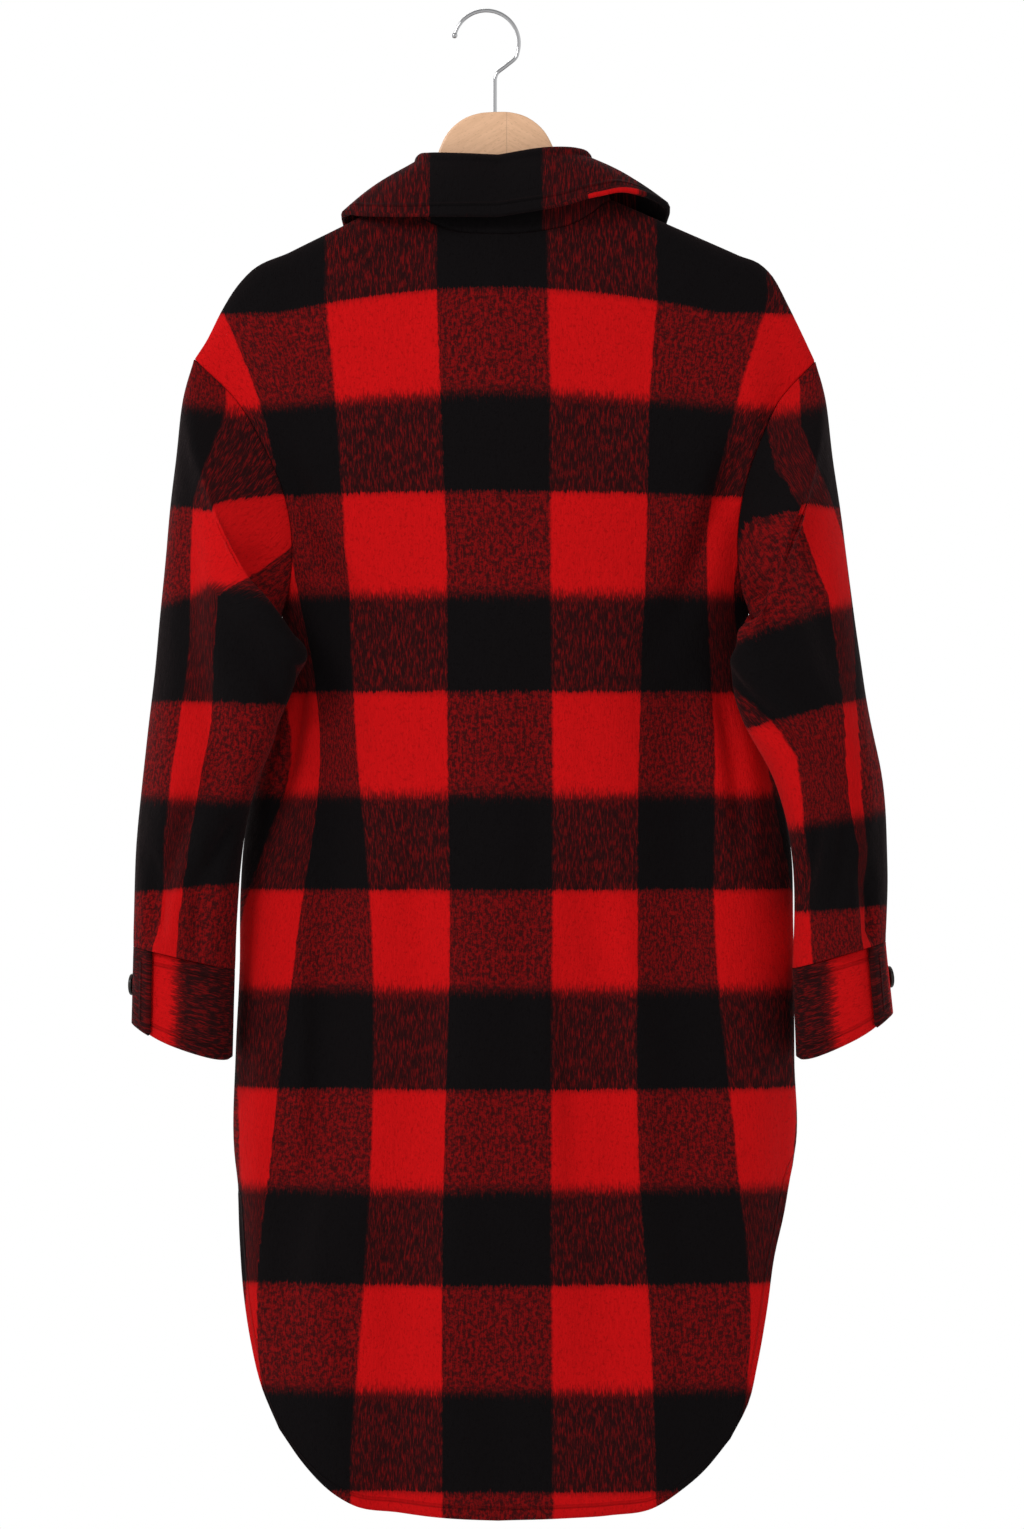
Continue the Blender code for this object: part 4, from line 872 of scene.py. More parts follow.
def make_cuff(side):
    """A cuff: a band round the wrist with lapped ends."""
    sign = SIGN[side]
    turn = np.radians(np.linspace(CUFF_TOP_EDGE, CUFF_UNDER_EDGE - 360, 150))
    under = ease((-np.degrees(turn) - CUFF_DIPS_AT) / CUFF_DIPS_OVER) * (
        DOUBLE_WALL + LAP_CLEARANCE)
    top, foot = section(SLEEVE[side], -1), section(CUFF_FOOT[side])
    lines = []
    fractions = finer(np.linspace(0, 1, CUFF_ROWS + 1), 9, (0.012, 0.985))
    for f in fractions:
        centre, width, depth = ((1 - f) * a + f * b for a, b in zip(top, foot))
        way = width * np.cos(turn)[:, None] + depth * np.sin(turn)[:, None]
        size = np.linalg.norm(way, axis=1, keepdims=True)
        line = centre + way * (1 - under[:, None] / size)
        line[:, 2] -= f * CUFF_BACK_DROP * np.sin(turn)
        lines.append(line)
    points = np.array(lines)
    down_way = points[-1].mean(axis=0) - points[0].mean(axis=0)
    points[0] += down_way / np.linalg.norm(down_way) * 1.5 * SEAM_GAP
    out = points - points.mean(axis=1, keepdims=True)
    points *= (sign, 1, 1)
    out *= (sign, 1, 1)
    from_top, from_bottom, first, last = distances(points)
    stitch = np.minimum.reduce((from_top, from_bottom, first, last))
    checks = cuff_checks(side, points, turn, fractions)
    piece = Cloth("cuff_" + side, points, DOUBLE_WALL, out, checks,
                  free=("bottom", "first", "last"), stitch=stitch)
    wavy = waves(np.broadcast_to(np.sin(turn) * 0.09, from_top.shape), -points[..., 2],
                 6.0 + sign)
    piece.press(fade_in((from_top, CALM_BELOW_SLEEVE)) * CUFF_WAVE_DEPTH * wavy)
    return piece


def neck_seam(back, left, right):
    """The neck seam from the left centre front round the back to the right centre front."""
    places = HALF_PLACES[::-1]
    neck_column = int(np.flatnonzero(places >= NECK_SHARE - 1e-9)[-1])
    centre_column = len(places) - 1
    left_part = left.points[0, neck_column + 1:centre_column + 1][::-1]
    right_part = right.points[0, neck_column + 1:centre_column + 1]
    back_part = back.points[0, neck_column:back.points.shape[1] - neck_column]
    return np.vstack((left_part, back_part, right_part)), len(left_part)


def collar_line(tables, places):
    """Points of the collar's roll or edge at places from -1 (left front) to 1 (right front)."""
    points = np.zeros((len(places), 3))
    for side, sign in SIGN.items():
        line = tables[side]
        here = places * sign <= 0
        for axis, name, turned in ((0, "x", sign), (1, "y", 1), (2, "down", -1)):
            points[here, axis] = turned * smooth(np.abs(places[here]), line["place"], line[name])
    return points


def make_collar(seam, front_part):
    """The stand on the neck seam, and the fall that turns over it."""
    count = len(seam)
    walked = np.concatenate(((0.0,), np.cumsum(np.linalg.norm(np.diff(seam, axis=0), axis=1))))
    marks = walked[[0, front_part, count - 1 - front_part, count - 1]]
    places = np.interp(walked, marks, (-1.0, -0.5, 0.5, 1.0))
    roll, edge = collar_line(ROLL, places), collar_line(FALL_EDGE, places)
    along = np.gradient(roll, walked, axis=0)
    out = np.column_stack((-along[:, 1], along[:, 0], np.zeros(count)))
    out *= np.sign((out * (roll - roll.mean(axis=0))).sum())
    out /= np.linalg.norm(out, axis=1, keepdims=True)
    up = np.cross(out, along)
    up *= np.sign(up[:, 2:]) / np.linalg.norm(up, axis=1, keepdims=True)
    centre = roll - ROLL_RADIUS * up
    stand_top = centre - STAND_INSET * out - 2 * SEAM_GAP * up
    steps = np.linspace(0, 1, STAND_ROWS)
    stand_points = np.array([(1 - f) * seam + f * stand_top for f in steps])
    stand = Cloth("collar_stand", stand_points, PANEL_WALL, out[None] * np.ones_like(stand_points),
                  collar_checks(stand_points, STAND_ROWS_SHOWN), free=("first", "last"))
    stand.inner *= (1 + steps * (DOUBLE_WALL / PANEL_WALL - 1))[:, None, None]
    stand.inner[-1] = -DOUBLE_WALL * out
    lines = [centre + ROLL_RADIUS * (math.cos(a) * out + math.sin(a) * up)
             for a in np.radians(np.linspace(180, 0, ROLL_ROWS))]
    rise = (out + up) / math.sqrt(2)
    start = lines[-1]
    for f in finer(np.linspace(0, 1, FALL_ROWS)[1:], 1, (0.97, 0.985, 0.993)):
        lines.append((1 - f) * start + f * edge + FALL_BOW * math.sin(math.pi * f) * rise)
    points = np.array(lines)
    outward = np.zeros_like(points)
    outward[ROLL_ROWS:] = out
    from_top, from_bottom, first, last = distances(points)
    stitch = np.minimum.reduce((from_bottom, first, last))
    checks = collar_checks(points, FALL_ROWS_SHOWN)
    x, share = points[..., 0], np.linspace(0, 1, len(points))[:, None]
    end = ease((RED_END_FROM - x) / RED_END_SOFT) * ease((x - RED_END_TO) / RED_END_SOFT)
    checks[..., 1] += 1.3 * end * ease((share - RED_END_DOWN) / RED_END_RUN)
    fall = Cloth("collar_fall", points, DOUBLE_WALL, outward, checks,
                 free=("bottom", "first", "last"), stitch=stitch)
    wavy = waves(np.broadcast_to(walked, from_top.shape), from_top, 9.0)
    fall.press(fade_in((from_top, CALM_BY_ROLL)) * FALL_WAVE_DEPTH * wavy)
    fall.inner[0] = DOUBLE_WALL * out
    return stand, fall


def crossing(place, distance, edge):
    """How far round a sleeve's edge of a stripe lies, or would lie past the inner side."""
    behind = np.maximum.accumulate(edge - place)
    if behind[-1] < 0:
        return distance[-1] - behind[-1]
    return np.interp(0.0, behind, distance)


def sleeve_checks(side, points, turn):
    """Stripe and row coordinates on a sleeve, one column more than its points."""
    ring = np.concatenate((points, points[:, :1]), axis=1)
    turn = np.column_stack((turn, turn[:, :1] + 2 * np.pi))
    outer = points.shape[1] // 2
    down = -ring[..., 2]
    round_way = walk(ring, 1)
    round_way -= round_way[:, outer:outer + 1]
    known = SLEEVE_STRIPES[side]
    stripe = np.empty_like(down)
    for number, (line, way) in enumerate(zip(ring[:, outer:], round_way[:, outer:])):
        edges = [crossing(line[:, 0] * SIGN[side], way,
                          np.interp(-line[:, 2], known["down"], known[name]))
                 for name in list(known)[1:]]
        here = round_way[number]
        stripe[number] = 1 - np.maximum(edges[0] - here, 0) / STRIPE
        for near, far in zip(edges, edges[1:]):
            stripe[number] += np.clip((here - near) / max(far - near, 1e-3), 0, 1)
        stripe[number] += np.maximum(here - edges[-1], 0) / STRIPE
    share = (1 - np.cos(turn)) / 2
    rows = [np.interp(share, (0, 0.33, 0.67, 1), line) for line in zip(*SLEEVE_ROWS[side].values())]
    row = 2 - np.maximum(rows[0] - down, 0) / ROW
    for near, far in zip(rows, rows[1:]):
        row += np.clip((down - near) / (far - near), 0, 1)
    return np.stack((stripe, row), axis=-1)


def cuff_checks(side, points, turn, fractions):
    """The cuffs' cloth lies on its side: the stripes run round the wrist."""
    x = points[..., 0] * SIGN[side]
    centre, half = (x.max() + x.min()) / 2, (x.max() - x.min()) / 2
    edge = math.acos((CUFF_ROW_EDGE[side] - centre) / half)
    row = 1 + (turn[None] - edge + 2 * np.pi) * half * CUFF_FLATNESS / ROW
    stripe = np.interp(fractions, (0, 1), CUFF_STRIPES)[:, None]
    return np.stack(np.broadcast_arrays(stripe, row), axis=-1)


def collar_checks(points, rows_shown):
    """Stripe and row coordinates on the collar, from its lines' places."""
    stripe = np.interp(-points[..., 0], -np.array(COLLAR_STRIPES_X), (-1.0, 0.0, 1.0, 2.0, 3.0))
    row = np.linspace(*rows_shown, len(points))[:, None]
    return np.stack(np.broadcast_arrays(stripe, row), axis=-1)


def plug_in(tree, plug, value):
    """Give a socket a number, another socket, a colour or a constant."""
    if isinstance(value, Number):
        value = value.socket
    if isinstance(value, bpy.types.NodeSocket):
        tree.links.new(value, plug)
    elif isinstance(value, tuple):
        plug.default_value = (*value, 1.0)
    else:
        plug.default_value = value


class Number:
    """A shader value with arithmetic, so that a pattern reads as a formula."""

    def __init__(self, tree, socket):
        self.tree, self.socket = tree, socket

    def work_out(self, kind, *values):
        node = self.tree.nodes.new("ShaderNodeMath")
        node.operation = kind
        for plug, value in zip(node.inputs, values):
            plug_in(self.tree, plug, value)
        return Number(self.tree, node.outputs[0])

    def __add__(self, other):
        return self.work_out("ADD", self, other)

    __radd__ = __add__

    def __sub__(self, other):
        return self.work_out("SUBTRACT", self, other)

    def __rsub__(self, other):
        return self.work_out("SUBTRACT", other, self)

    def __mul__(self, other):
        return self.work_out("MULTIPLY", self, other)

    __rmul__ = __mul__

    def __mod__(self, other):
        return self.work_out("FLOORED_MODULO", self, other)

    def __abs__(self):
        return self.work_out("ABSOLUTE", self)

    def cosine(self):
        return self.work_out("COSINE", self)

    def step(self, low, high):
        """0 at low and 1 at high, softly between."""
        node = self.tree.nodes.new("ShaderNodeMapRange")
        node.interpolation_type = "SMOOTHSTEP"
        ends = ((low, 0.0), (high, 1.0)) if low < high else ((high, 1.0), (low, 0.0))
        plug_in(self.tree, node.inputs["Value"], self)
        for which, (start, result) in zip(("Min", "Max"), ends):
            node.inputs["From " + which].default_value = start
            node.inputs["To " + which].default_value = result
        return Number(self.tree, node.outputs["Result"])


class Shader:
    """A Principled material under construction."""

    def __init__(self, name):
        self.material = bpy.data.materials.new(name)
        self.material.use_nodes = True
        self.tree = self.material.node_tree
        self.main = self.tree.nodes["Principled BSDF"]

    def node(self, kind, **inputs):
        """A new node with some of its inputs given; a lower dash stands for a space."""
        node = self.tree.nodes.new("ShaderNode" + kind)
        for name, value in inputs.items():
            plug_in(self.tree, node.inputs[name.replace("_", " ")], value)
        return node

    def place(self):
        """The place in the object's own frame."""
        return self.node("TexCoord").outputs["Object"]

    def split(self, vector):
        """The numbers that a vector is made of."""
        return [Number(self.tree, plug) for plug in self.node("SeparateXYZ", Vector=vector).outputs]

    def vector(self, x, y, z=0.0):
        """A vector made of numbers."""
        return self.node("CombineXYZ", X=x, Y=y, Z=z).outputs[0]

    def noise(self, place, scale, detail=2.0, rough=0.5):
        """Noise from 0 to 1 at a vector."""
        made = self.node("TexNoise", Vector=place, Scale=scale, Detail=detail, Roughness=rough)
        return Number(self.tree, made.outputs["Fac"])

    def mix(self, share, first, second):
        """A colour between two, each a colour or a socket."""
        node = self.node("Mix")
        node.data_type = "RGBA"
        for number, value in ((0, share), (6, first), (7, second)):
            plug_in(self.tree, node.inputs[number], value)
        return node.outputs[2]

    def feed(self, values):
        """Give the shader's inputs their numbers, colours or sockets."""
        for name, value in values.items():
            plug_in(self.tree, self.main.inputs[name], value)

    def bump(self, height, distance, strength):
        """Raise and sink the surface by a height in units of the distance."""
        node = self.node("Bump", Distance=distance, Strength=strength, Height=height)
        self.feed({"Normal": node.outputs["Normal"]})


WOOL_RED = (0.560, 0.0045, 0.0055)
WOOL_RED_DEEP = (0.400, 0.0030, 0.0040)
WOOL_BLACK = (0.0042, 0.0034, 0.0038)
STITCH_LINE = 0.009
STITCH_WIDTH = 0.0022
YARNS_ACROSS, YARNS_ALONG = 620, 460
NAP_HEIGHT = 0.0009


def wool_material():
    """Brushed wool: a twill of red and black yarn under a nap that is brushed downward."""
    made = Shader("brushed_wool")
    check = made.node("UVMap")
    check.uv_map = "check"
    stripe, row, _ = made.split(check.outputs["UV"])
    across, along = stripe * STRIPE, row * ROW
    flat = made.vector(across, along)

    # The nap: long fibres and tufts that lie downward, and what has no direction
    fibres = made.noise(made.vector(across, along * 0.10), 1300, 2.0, 0.6)
    tufts = made.noise(made.vector(across, along * 0.22), 420, 3.0, 0.6)
    blotches = made.noise(flat, 300, 4.0, 0.72)
    cloud = made.noise(flat, 22)
    soft = made.noise(flat, 110, 1.0)

    # Red warp and red weft, whose lower edges are brushed further than the upper ones
    edge_u = stripe + (blotches - 0.5) * 0.045 + (soft - 0.5) * 0.03
    brushed = 0.65 - (row * math.pi).cosine() * 0.35
    edge_v = row + ((fibres - 0.5) * 0.36 + (tufts - 0.5) * 0.22) * brushed
    warp = abs(edge_u % 2.0 - 1.5).step(0.52, 0.48)
    weft = abs(edge_v % 2.0 - 0.5).step(0.57, 0.43)

    # Where one of the two is black, its fibres cover most of the red
    streaks = (fibres * 0.5 + tufts * 0.5).step(0.47, 0.62)
    spots = (blotches * 0.55 + tufts * 0.25 + fibres * 0.2).step(0.44, 0.575)
    both = warp * weft
    red = (both + (warp - both) * (0.028 + streaks * 0.23)
           + (weft - both) * (0.065 + spots * 0.33))

    # Small gaps between the yarns, darkened in colour as painted shade and sunk by the bump, and
    # cloudy light and dark that varies at random
    yarns = made.node("TexVoronoi", Scale=1.0,
                      Vector=made.vector(across * YARNS_ACROSS, along * YARNS_ALONG))
    gaps = Number(made.tree, yarns.outputs["Distance"])
    shaded_gaps = gaps.step(0.55, 0.75) * blotches.step(0.45, 0.62)
    # Tone of the cloth: painted shade in the yarn gaps, times random tone from the fibres and the
    # cloud
    shade = (1 - shaded_gaps * 0.22) * (0.86 + fibres * 0.28) * (0.94 + cloud * 0.12)
    bright = made.mix((tufts * 0.6 + cloud * 0.4).step(0.35, 0.65), WOOL_RED, WOOL_RED_DEEP)
    colour = made.mix(red, WOOL_BLACK, made.mix(0.62, bright, WOOL_RED))

    # The line of stitches along the edges, sunk into the nap by the bump, with its colour darkened
    # as painted shade in that groove
    edge = made.node("Attribute")
    edge.attribute_name = "edge"
    from_edge = Number(made.tree, edge.outputs["Fac"])
    seam = abs(from_edge - STITCH_LINE).step(STITCH_WIDTH, 0.0004)
    toned = made.node("VectorMath")
    toned.operation = "SCALE"
    plug_in(made.tree, toned.inputs[0], colour)
    # The colour is scaled by the tone and darkened along the stitch line: painted shade in the
    # groove
    plug_in(made.tree, toned.inputs["Scale"], shade * (1 - seam * 0.22))
    made.feed({"Base Color": toned.outputs["Vector"], "Roughness": 0.92,
               "Specular IOR Level": 0.05, "Sheen Weight": 0.035, "Sheen Roughness": 0.45,
               "Sheen Tint": (0.9, 0.45, 0.45)})
    nap = fibres * 0.5 + tufts * 0.8 + blotches * 0.5 + shaded_gaps * -0.4 + soft * 1.2
    made.bump(nap - seam * 2.2, NAP_HEIGHT, 0.75)
    return made.material


def beech_material():
    """Light beech: two halves whose grain runs out and down, with a satin lacquer."""
    made = Shader("beech")
    x, y, z = made.split(made.place())
    aside = abs(x - (CENTRE_X + STEM_X))
    along = aside * 0.87 - z * 0.5
    across = aside * 0.5 + z * 0.87
    grain = made.noise(made.vector(along * 0.12, across, y), 420, 4.0, 0.6)
    rings = made.noise(made.vector(along * 0.05, across, y * 0.5), 90)
    rays = made.noise(made.vector(along * 0.5, across * 1.6, y), 700, 1.0).step(0.62, 0.72)
    joint = aside.step(0.0006, 0.0001)
    colour = made.mix((grain * 0.5 + rings * 0.5).step(0.35, 0.65), (0.82, 0.490, 0.290),
                      (0.700, 0.405, 0.230))
    colour = made.mix(rays * 0.35, colour, (0.43, 0.235, 0.12))
    colour = made.mix(joint * 0.35, colour, (0.36, 0.20, 0.11))
    made.feed({"Base Color": colour, "Roughness": 0.38 + grain * 0.12, "Coat Weight": 0.25,
               "Coat Roughness": 0.25})
    made.bump(grain - joint * 1.2, 0.0002, 0.5)
    return made.material


def chrome_material():
    """Chromed wire with a faint unevenness."""
    made = Shader("chrome")
    wear = made.noise(made.place(), 350, 3.0, 0.6)
    made.feed({"Base Color": (0.50, 0.50, 0.51), "Metallic": 1.0, "Roughness": 0.05 + wear * 0.08})
    made.bump(wear, 0.00002, 0.25)
    return made.material


def button_material():
    """Black horn-like resin with a faint cloudy grain."""
    made = Shader("button_resin")
    cloud = made.noise(made.place(), 260, 3.0, 0.6)
    colour = made.mix(cloud.step(0.4, 0.7), (0.010, 0.009, 0.009), (0.035, 0.028, 0.024))
    made.feed({"Base Color": colour, "Roughness": 0.26 + cloud * 0.15, "Specular IOR Level": 0.25})
    return made.material


def thread_material():
    """Black sewing thread."""
    made = Shader("thread")
    twist = made.noise(made.place(), 2600)
    made.feed({"Base Color": made.mix(twist, (0.006, 0.006, 0.006), (0.03, 0.028, 0.028)),
               "Roughness": 0.8})
    return made.material


def add_object(name, data):
    """A new object in the scene."""
    item = bpy.data.objects.new(name, data)
    bpy.context.scene.collection.objects.link(item)
    return item


def only(*items):
    """Select these objects alone, with the first as the active one."""
    bpy.ops.object.select_all(action="DESELECT")
    for item in items:
        item.select_set(True)
    bpy.context.view_layer.objects.active = items[0]


def apply_all(item):
    """Apply the object's modifiers in order."""
    only(item)
    for modifier in list(item.modifiers):
        bpy.ops.object.modifier_apply(modifier=modifier.name)


def round_edges(item, width, segments, angle):
    """Round the edges that are sharper than an angle."""
    rounding = item.modifiers.new("rounding", "BEVEL")
    rounding.width, rounding.segments, rounding.limit_method = width, segments, "ANGLE"
    rounding.angle_limit = math.radians(angle)
    apply_all(item)


def finish_surface(item, made, sharp=None):
    """Give the object one material and smooth faces, apart from edges past an angle."""
    item.data.materials.clear()
    item.data.materials.append(made)
    item.data.shade_smooth()
    if sharp:
        item.data.set_sharp_from_angle(angle=math.radians(sharp))


def drum(radius, depth, sides, place=(0, 0, 0)):
    """A cylinder to cut with or to work on."""
    bpy.ops.object.select_all(action="DESELECT")
    bpy.ops.mesh.primitive_cylinder_add(vertices=sides, radius=radius, depth=depth, location=place)
    return bpy.context.object


def cut(item, tool):
    """Cut the tool's form out of the object."""
    modifier = item.modifiers.new("cut", "BOOLEAN")
    modifier.operation, modifier.solver, modifier.object = "DIFFERENCE", "EXACT", tool
    apply_all(item)
    bpy.data.objects.remove(tool, do_unlink=True)


def wire(name, points, radii, made, sides):
    """A round wire along a line of points, as a mesh."""
    curve = bpy.data.curves.new(name, "CURVE")
    curve.dimensions = "3D"
    curve.bevel_depth, curve.bevel_resolution, curve.use_fill_caps = 1.0, sides, True
    spline = curve.splines.new("POLY")
    spline.points.add(len(points) - 1)
    for point, place, radius in zip(spline.points, points, radii):
        point.co, point.radius = (*place, 1.0), radius
    only(add_object(name, curve))
    bpy.ops.object.convert(target="MESH")
    item = bpy.context.object
    finish_surface(item, made)
    return item


# A button's sizes as shares of its radius; the dish's depth is a share of the thickness
BUTTON_THICKNESS = 0.30
BUTTON_RIM = 0.16
BUTTON_SLOPE = 0.10
BUTTON_DISH = 0.38
BUTTON_ROUND = 0.06
HOLE_RADIUS = 0.085
HOLE_PLACE = 0.20
THREAD_RADIUS = 0.055
# A stitch of thread from one hole to the hole across: its place and its height
STITCH_REACH = (-1.0, -0.98, -0.6, 0.0, 0.6, 0.98, 1.0)
STITCH_RISE = (-0.5, 0.14, 0.26, 0.32, 0.26, 0.14, -0.5)
SECOND_STITCH_RISE = 0.14


def make_button(name, radius, place, normal, resin, thread):
    """A button with a raised rim and four holes, sewn on with a cross of thread."""
    thick, spread = BUTTON_THICKNESS * radius, HOLE_PLACE * radius
    item = drum(radius, thick, 56)
    item.name = item.data.name = name
    for part in (*item.data.vertices, *item.data.edges):
        part.select = False
    for face in item.data.polygons:
        face.select = face.normal.z > 0.9
    bpy.ops.object.mode_set(mode="EDIT")
    bpy.ops.mesh.select_mode(type="FACE")
    bpy.ops.mesh.inset(thickness=BUTTON_RIM * radius, depth=0)
    bpy.ops.mesh.inset(thickness=BUTTON_SLOPE * radius, depth=-BUTTON_DISH * thick)
    bpy.ops.object.mode_set(mode="OBJECT")
    round_edges(item, BUTTON_ROUND * radius, 3, 30)
    turns = [math.radians(45 + 90 * k) for k in range(4)]
    for turn in turns:
        tool = drum(HOLE_RADIUS * radius, 3 * thick, 14,
                    (spread * math.cos(turn), spread * math.sin(turn), 0))
        bpy.ops.object.transform_apply(location=True)
        cut(item, tool)
    finish_surface(item, resin, 35)
    stitches = []
    for number, turn in enumerate(turns[:2]):
        rise = np.array(STITCH_RISE)
        rise[3] += SECOND_STITCH_RISE * number
        line = [(spread * r * math.cos(turn), spread * r * math.sin(turn), thick * h)
                for r, h in zip(STITCH_REACH, rise)]
        stitches.append(wire("thread", line, [THREAD_RADIUS * radius] * len(line), thread, 2))
    only(item, *stitches)
    bpy.ops.object.join()
    aim = Vector(normal).normalized()
    item.data.transform(aim.to_track_quat("Z", "Y").to_matrix().to_4x4())
    middle = Vector(place) + aim * (BUTTON_SEAT + thick / 2) + Vector((CENTRE_X, 0, 0))
    for vertex in item.data.vertices:
        vertex.co += middle
    return item


def make_buttons(front, cuffs):
    """The front buttons and one on each cuff, with the CAD nodes they stand for."""
    finishes = button_material(), thread_material()
    line = front.points[:, len(HALF_PLACES) - 1]
    for number in range(FRONT_BUTTONS):
        down = FIRST_BUTTON + number * BUTTON_PITCH
        above, place, below = (
            np.array([np.interp(at, -line[:, 2], line[:, axis]) for axis in range(3)])
            for at in (down - 0.01, down, down + 0.01))
        normal = (0.0, -1.0, (above[1] - below[1]) / 0.02)
        name = f"button_front_{number + 1}"
        yield make_button("sewn_" + name, FRONT_BUTTON_RADIUS, place, normal, *finishes), name
    for cuff in cuffs:
        rows, columns = cuff.points.shape[:2]
        at = rows // 2, round(CUFF_BUTTON_PLACE * (columns - 1))
        name = "button_" + cuff.name
        yield make_button("sewn_" + name, CUFF_BUTTON_RADIUS, cuff.points[at], cuff.normals[at],
                          *finishes), name


def make_wood():
    """The hanger's wood: an outline with rounded edges, bored for the hook's stem."""
    known = np.arange(len(WOOD_OUTLINE["x"]), dtype=float)
    at = np.linspace(0, known[-1], 5 * len(known))
    half = np.column_stack([smooth(at, known, line) for line in WOOD_OUTLINE.values()])
    outline = np.vstack((half, (half * (-1, 1))[-2:0:-1]))
    mesh = bpy.data.meshes.new("hanger_arms")
    mesh.from_pydata([(x, -WOOD_HALF_THICKNESS, -down) for x, down in outline], [],
                     [list(range(len(outline)))])
    item = add_object("hanger_arms", mesh)
    only(item)
    bpy.ops.object.mode_set(mode="EDIT")
    bpy.ops.mesh.select_all(action="SELECT")
    bpy.ops.mesh.extrude_region_move(
        TRANSFORM_OT_translate={"value": (0, 2 * WOOD_HALF_THICKNESS, 0)})
    bpy.ops.mesh.select_all(action="SELECT")
    bpy.ops.mesh.normals_make_consistent(inside=False)
    bpy.ops.object.mode_set(mode="OBJECT")
    round_edges(item, WOOD_EDGE_ROUND, 6, 60)
    tilt = math.radians(HANGER_TILT)
    for vertex in item.data.vertices:
        x, y, z = vertex.co
        vertex.co = (x * math.cos(tilt) + z * math.sin(tilt) + STEM_X, y,
                     z * math.cos(tilt) - x * math.sin(tilt) - WOOD_TOP)
    cut(item, drum(WIRE_RADIUS + SEAM_GAP, 2 * (STEM_IN_WOOD + SEAM_GAP), 32,
                   (STEM_X, 0, -WOOD_TOP)))
    finish_surface(item, beech_material(), 50)
    return item


def make_hook():
    """The hook: wire bent on a round crest, then straight down into the wood."""
    drop = HOOK_RADIUS - WIRE_RADIUS
    turn = np.radians(np.linspace(HOOK_TIP_ANGLE, HOOK_LEAVES_ANGLE, 17))
    arc = np.column_stack((HOOK_RADIUS * np.cos(turn), HOOK_RADIUS * np.sin(turn) - drop))
    path = np.vstack((arc, HOOK_BEND, ((STEM_X, HOOK_STRAIGHT_FROM),
                                       (STEM_X, -WOOD_TOP - STEM_IN_WOOD))))
    known = np.arange(len(path), dtype=float)
    at = np.concatenate((np.linspace(0, known[-2], 150), (known[-1],)))
    line = np.column_stack([smooth(at, known, path[:, k]) for k in (0, 1)])
    line[-1] = path[-1]
    way = line[0] - line[1]
    way /= np.linalg.norm(way)
    steps = np.array(HOOK_TIP_STEPS)
    tip = line[0] + way * HOOK_TIP_RADIUS * steps[:, None]
    radii = np.concatenate((HOOK_TIP_RADIUS * np.sqrt(1 - steps ** 2),
                            np.full(len(line) - 1, WIRE_RADIUS)))
    points = [(x, 0.0, z) for x, z in np.vstack((tip, line[1:]))]
    return wire("hook", points, radii, chrome_material(), 6)


COAT_MIDDLE = (0, 0, -0.45)
FLOOR_RADIUS, FLOOR_HEIGHT = 2.1, -1.55
CAMERA_PLACE = (-0.0213, 6.0, -0.6208)
CAMERA_LENS = 171.1


def light(name, size, power, place, aim):
    """A soft square light."""
    lamp = bpy.data.lights.new(name, "AREA")
    lamp.size, lamp.energy = size, power
    item = add_object(name, lamp)
    item.location = place
    item.rotation_euler = (Vector(aim) - Vector(place)).to_track_quat("-Z", "Y").to_euler()
    return item


def make_room():
    """Even light from all round, a little greyer from behind the camera and from above."""
    world = bpy.data.worlds.new("studio")
    bpy.context.scene.world = world
    world.use_nodes = True
    tree = world.node_tree
    way = tree.nodes.new("ShaderNodeTexCoord")
    parts = tree.nodes.new("ShaderNodeSeparateXYZ")
    plug_in(tree, parts.inputs[0], way.outputs["Generated"])
    toward, up = Number(tree, parts.outputs[1]), Number(tree, parts.outputs[2])
    bright = 1.0 - (toward.step(-0.05, 0.70) * 0.28 + up.step(0.28, 0.8) * 0.45)
    shade = tree.nodes.new("ShaderNodeCombineColor")
    for plug in shade.inputs:
        plug_in(tree, plug, bright)
    plug_in(tree, tree.nodes["Background"].inputs["Color"], shade.outputs[0])


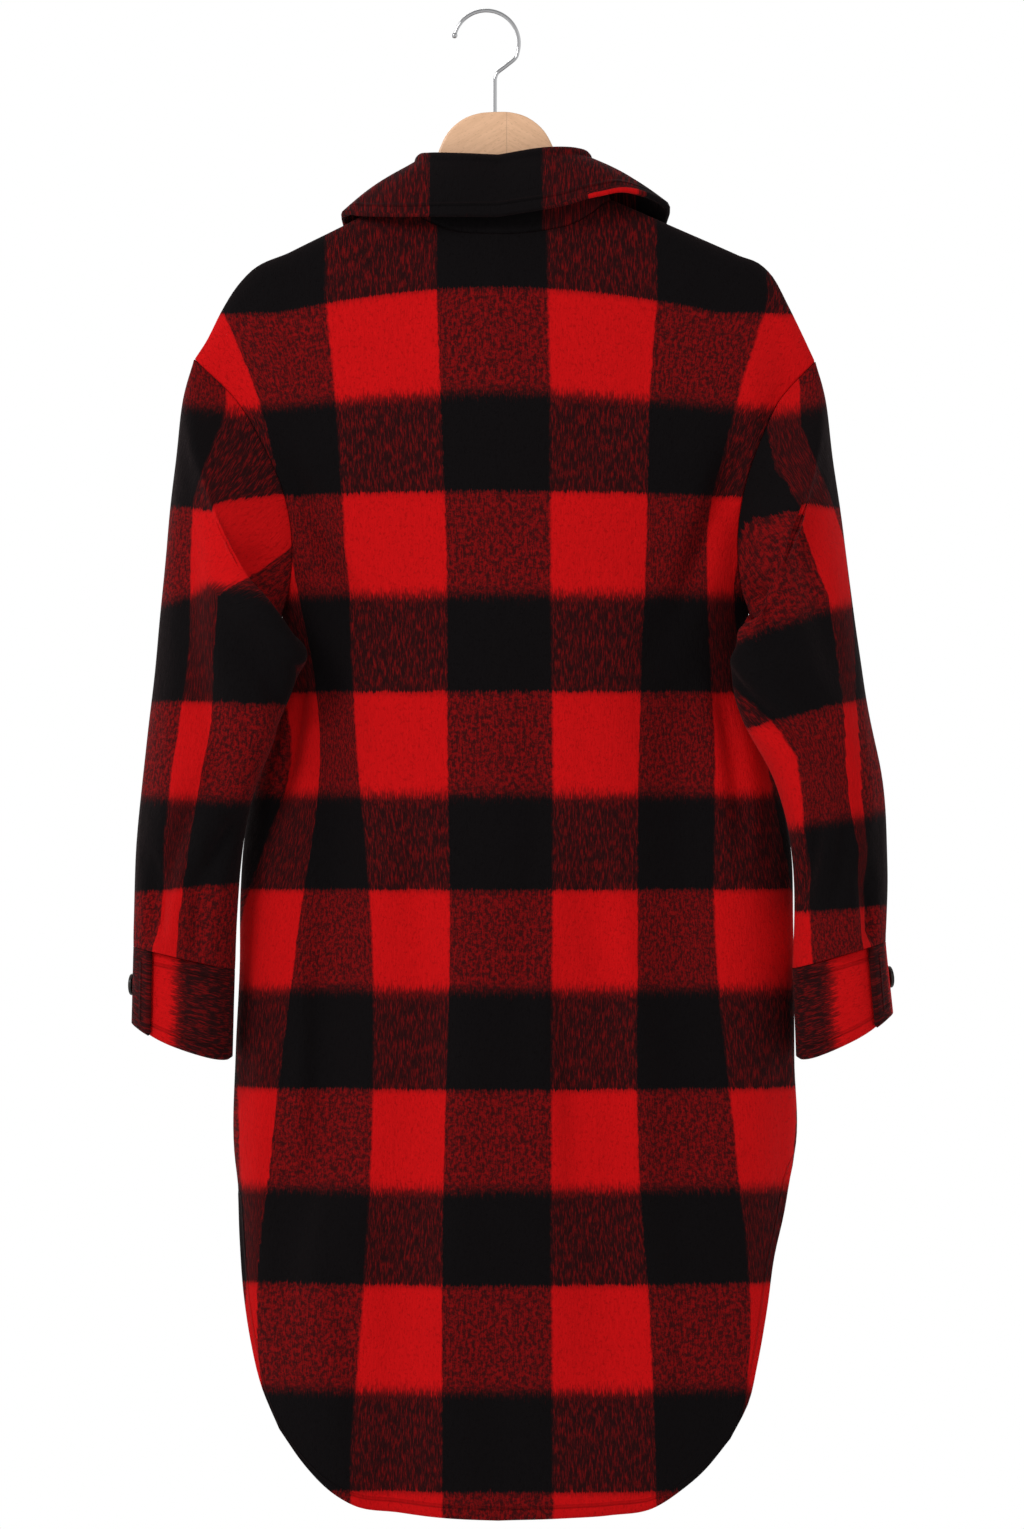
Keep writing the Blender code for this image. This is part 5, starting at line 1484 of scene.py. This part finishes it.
def make_stage():
    """A pale floor well below the coat, soft lights and the photograph's camera."""
    bpy.ops.mesh.primitive_circle_add(vertices=96, radius=FLOOR_RADIUS, fill_type="NGON",
                                      location=(0, 0, FLOOR_HEIGHT))
    floor = bpy.context.object
    floor.name = "floor"
    plain = Shader("floor_paint")
    plain.feed({"Base Color": plain.mix(plain.noise(plain.place(), 3.0), (0.84, 0.84, 0.84),
                                        (0.88, 0.88, 0.88)), "Roughness": 0.8})
    floor.data.materials.append(plain.material)
    make_room()
    light("key", 1.0, 48, (2.0, 2.3, 1.1), COAT_MIDDLE)
    light("fill", 2.2, 4, (-2.6, 2.4, 0.4), COAT_MIDDLE)
    light("front_soft", 1.6, 26, (0.8, -3.2, 0.6), (0, 0, -0.65))
    camera = bpy.data.cameras.new("camera")
    camera.lens = CAMERA_LENS
    item = add_object("camera", camera)
    item.location = CAMERA_PLACE
    item.rotation_euler = (math.radians(90), 0, math.radians(180))
    bpy.context.scene.camera = item
    bpy.context.scene.view_settings.view_transform = "Standard"


# Each cloth piece: width and length of its flat cut, the share of that rectangle it
# fills, and what it hangs from
CUTS = {
    "back": (0.53, 1.07, 0.88, "hanger_wood"),
    "front_left": (0.30, 1.05, 0.77, "hanger_wood"),
    "front_right": (0.31, 1.05, 0.80, "hanger_wood"),
    "sleeve_left": (0.40, 0.48, 0.68, "back"),
    "sleeve_right": (0.40, 0.48, 0.68, "back"),
    "cuff_left": (0.25, 0.075, 0.96, "sleeve_left"),
    "cuff_right": (0.25, 0.075, 0.96, "sleeve_right"),
    "collar_stand": (0.46, 0.045, 0.90, "back"),
    "collar_fall": (0.52, 0.11, 0.80, "collar_stand"),
}


def stand_for(item, node):
    """Let a piece stand for its CAD node."""
    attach(item, "root")
    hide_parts(node)


def main():
    """Dress the frame."""
    wool = wool_material()
    back = make_back()
    left, right = make_front("left"), make_front("right")
    sleeves = [make_sleeve("left", back, left), make_sleeve("right", back, right)]
    stand, fall = make_collar(*neck_seam(back, left, right))
    sew([back, left, right, stand] + sleeves)
    cuffs = [make_cuff("left"), make_cuff("right")]
    for piece in [back, left, right, stand, fall] + sleeves + cuffs:
        width, length, share, hangs_from = CUTS[piece.name]
        item = piece.build(wool)
        stand_for(item, piece.name)
    for item, node in make_buttons(right, cuffs):
        stand_for(item, node)
    stand_for(make_wood(), "hanger_wood")
    stand_for(make_hook(), "hanger_hook")
    make_stage()


main()
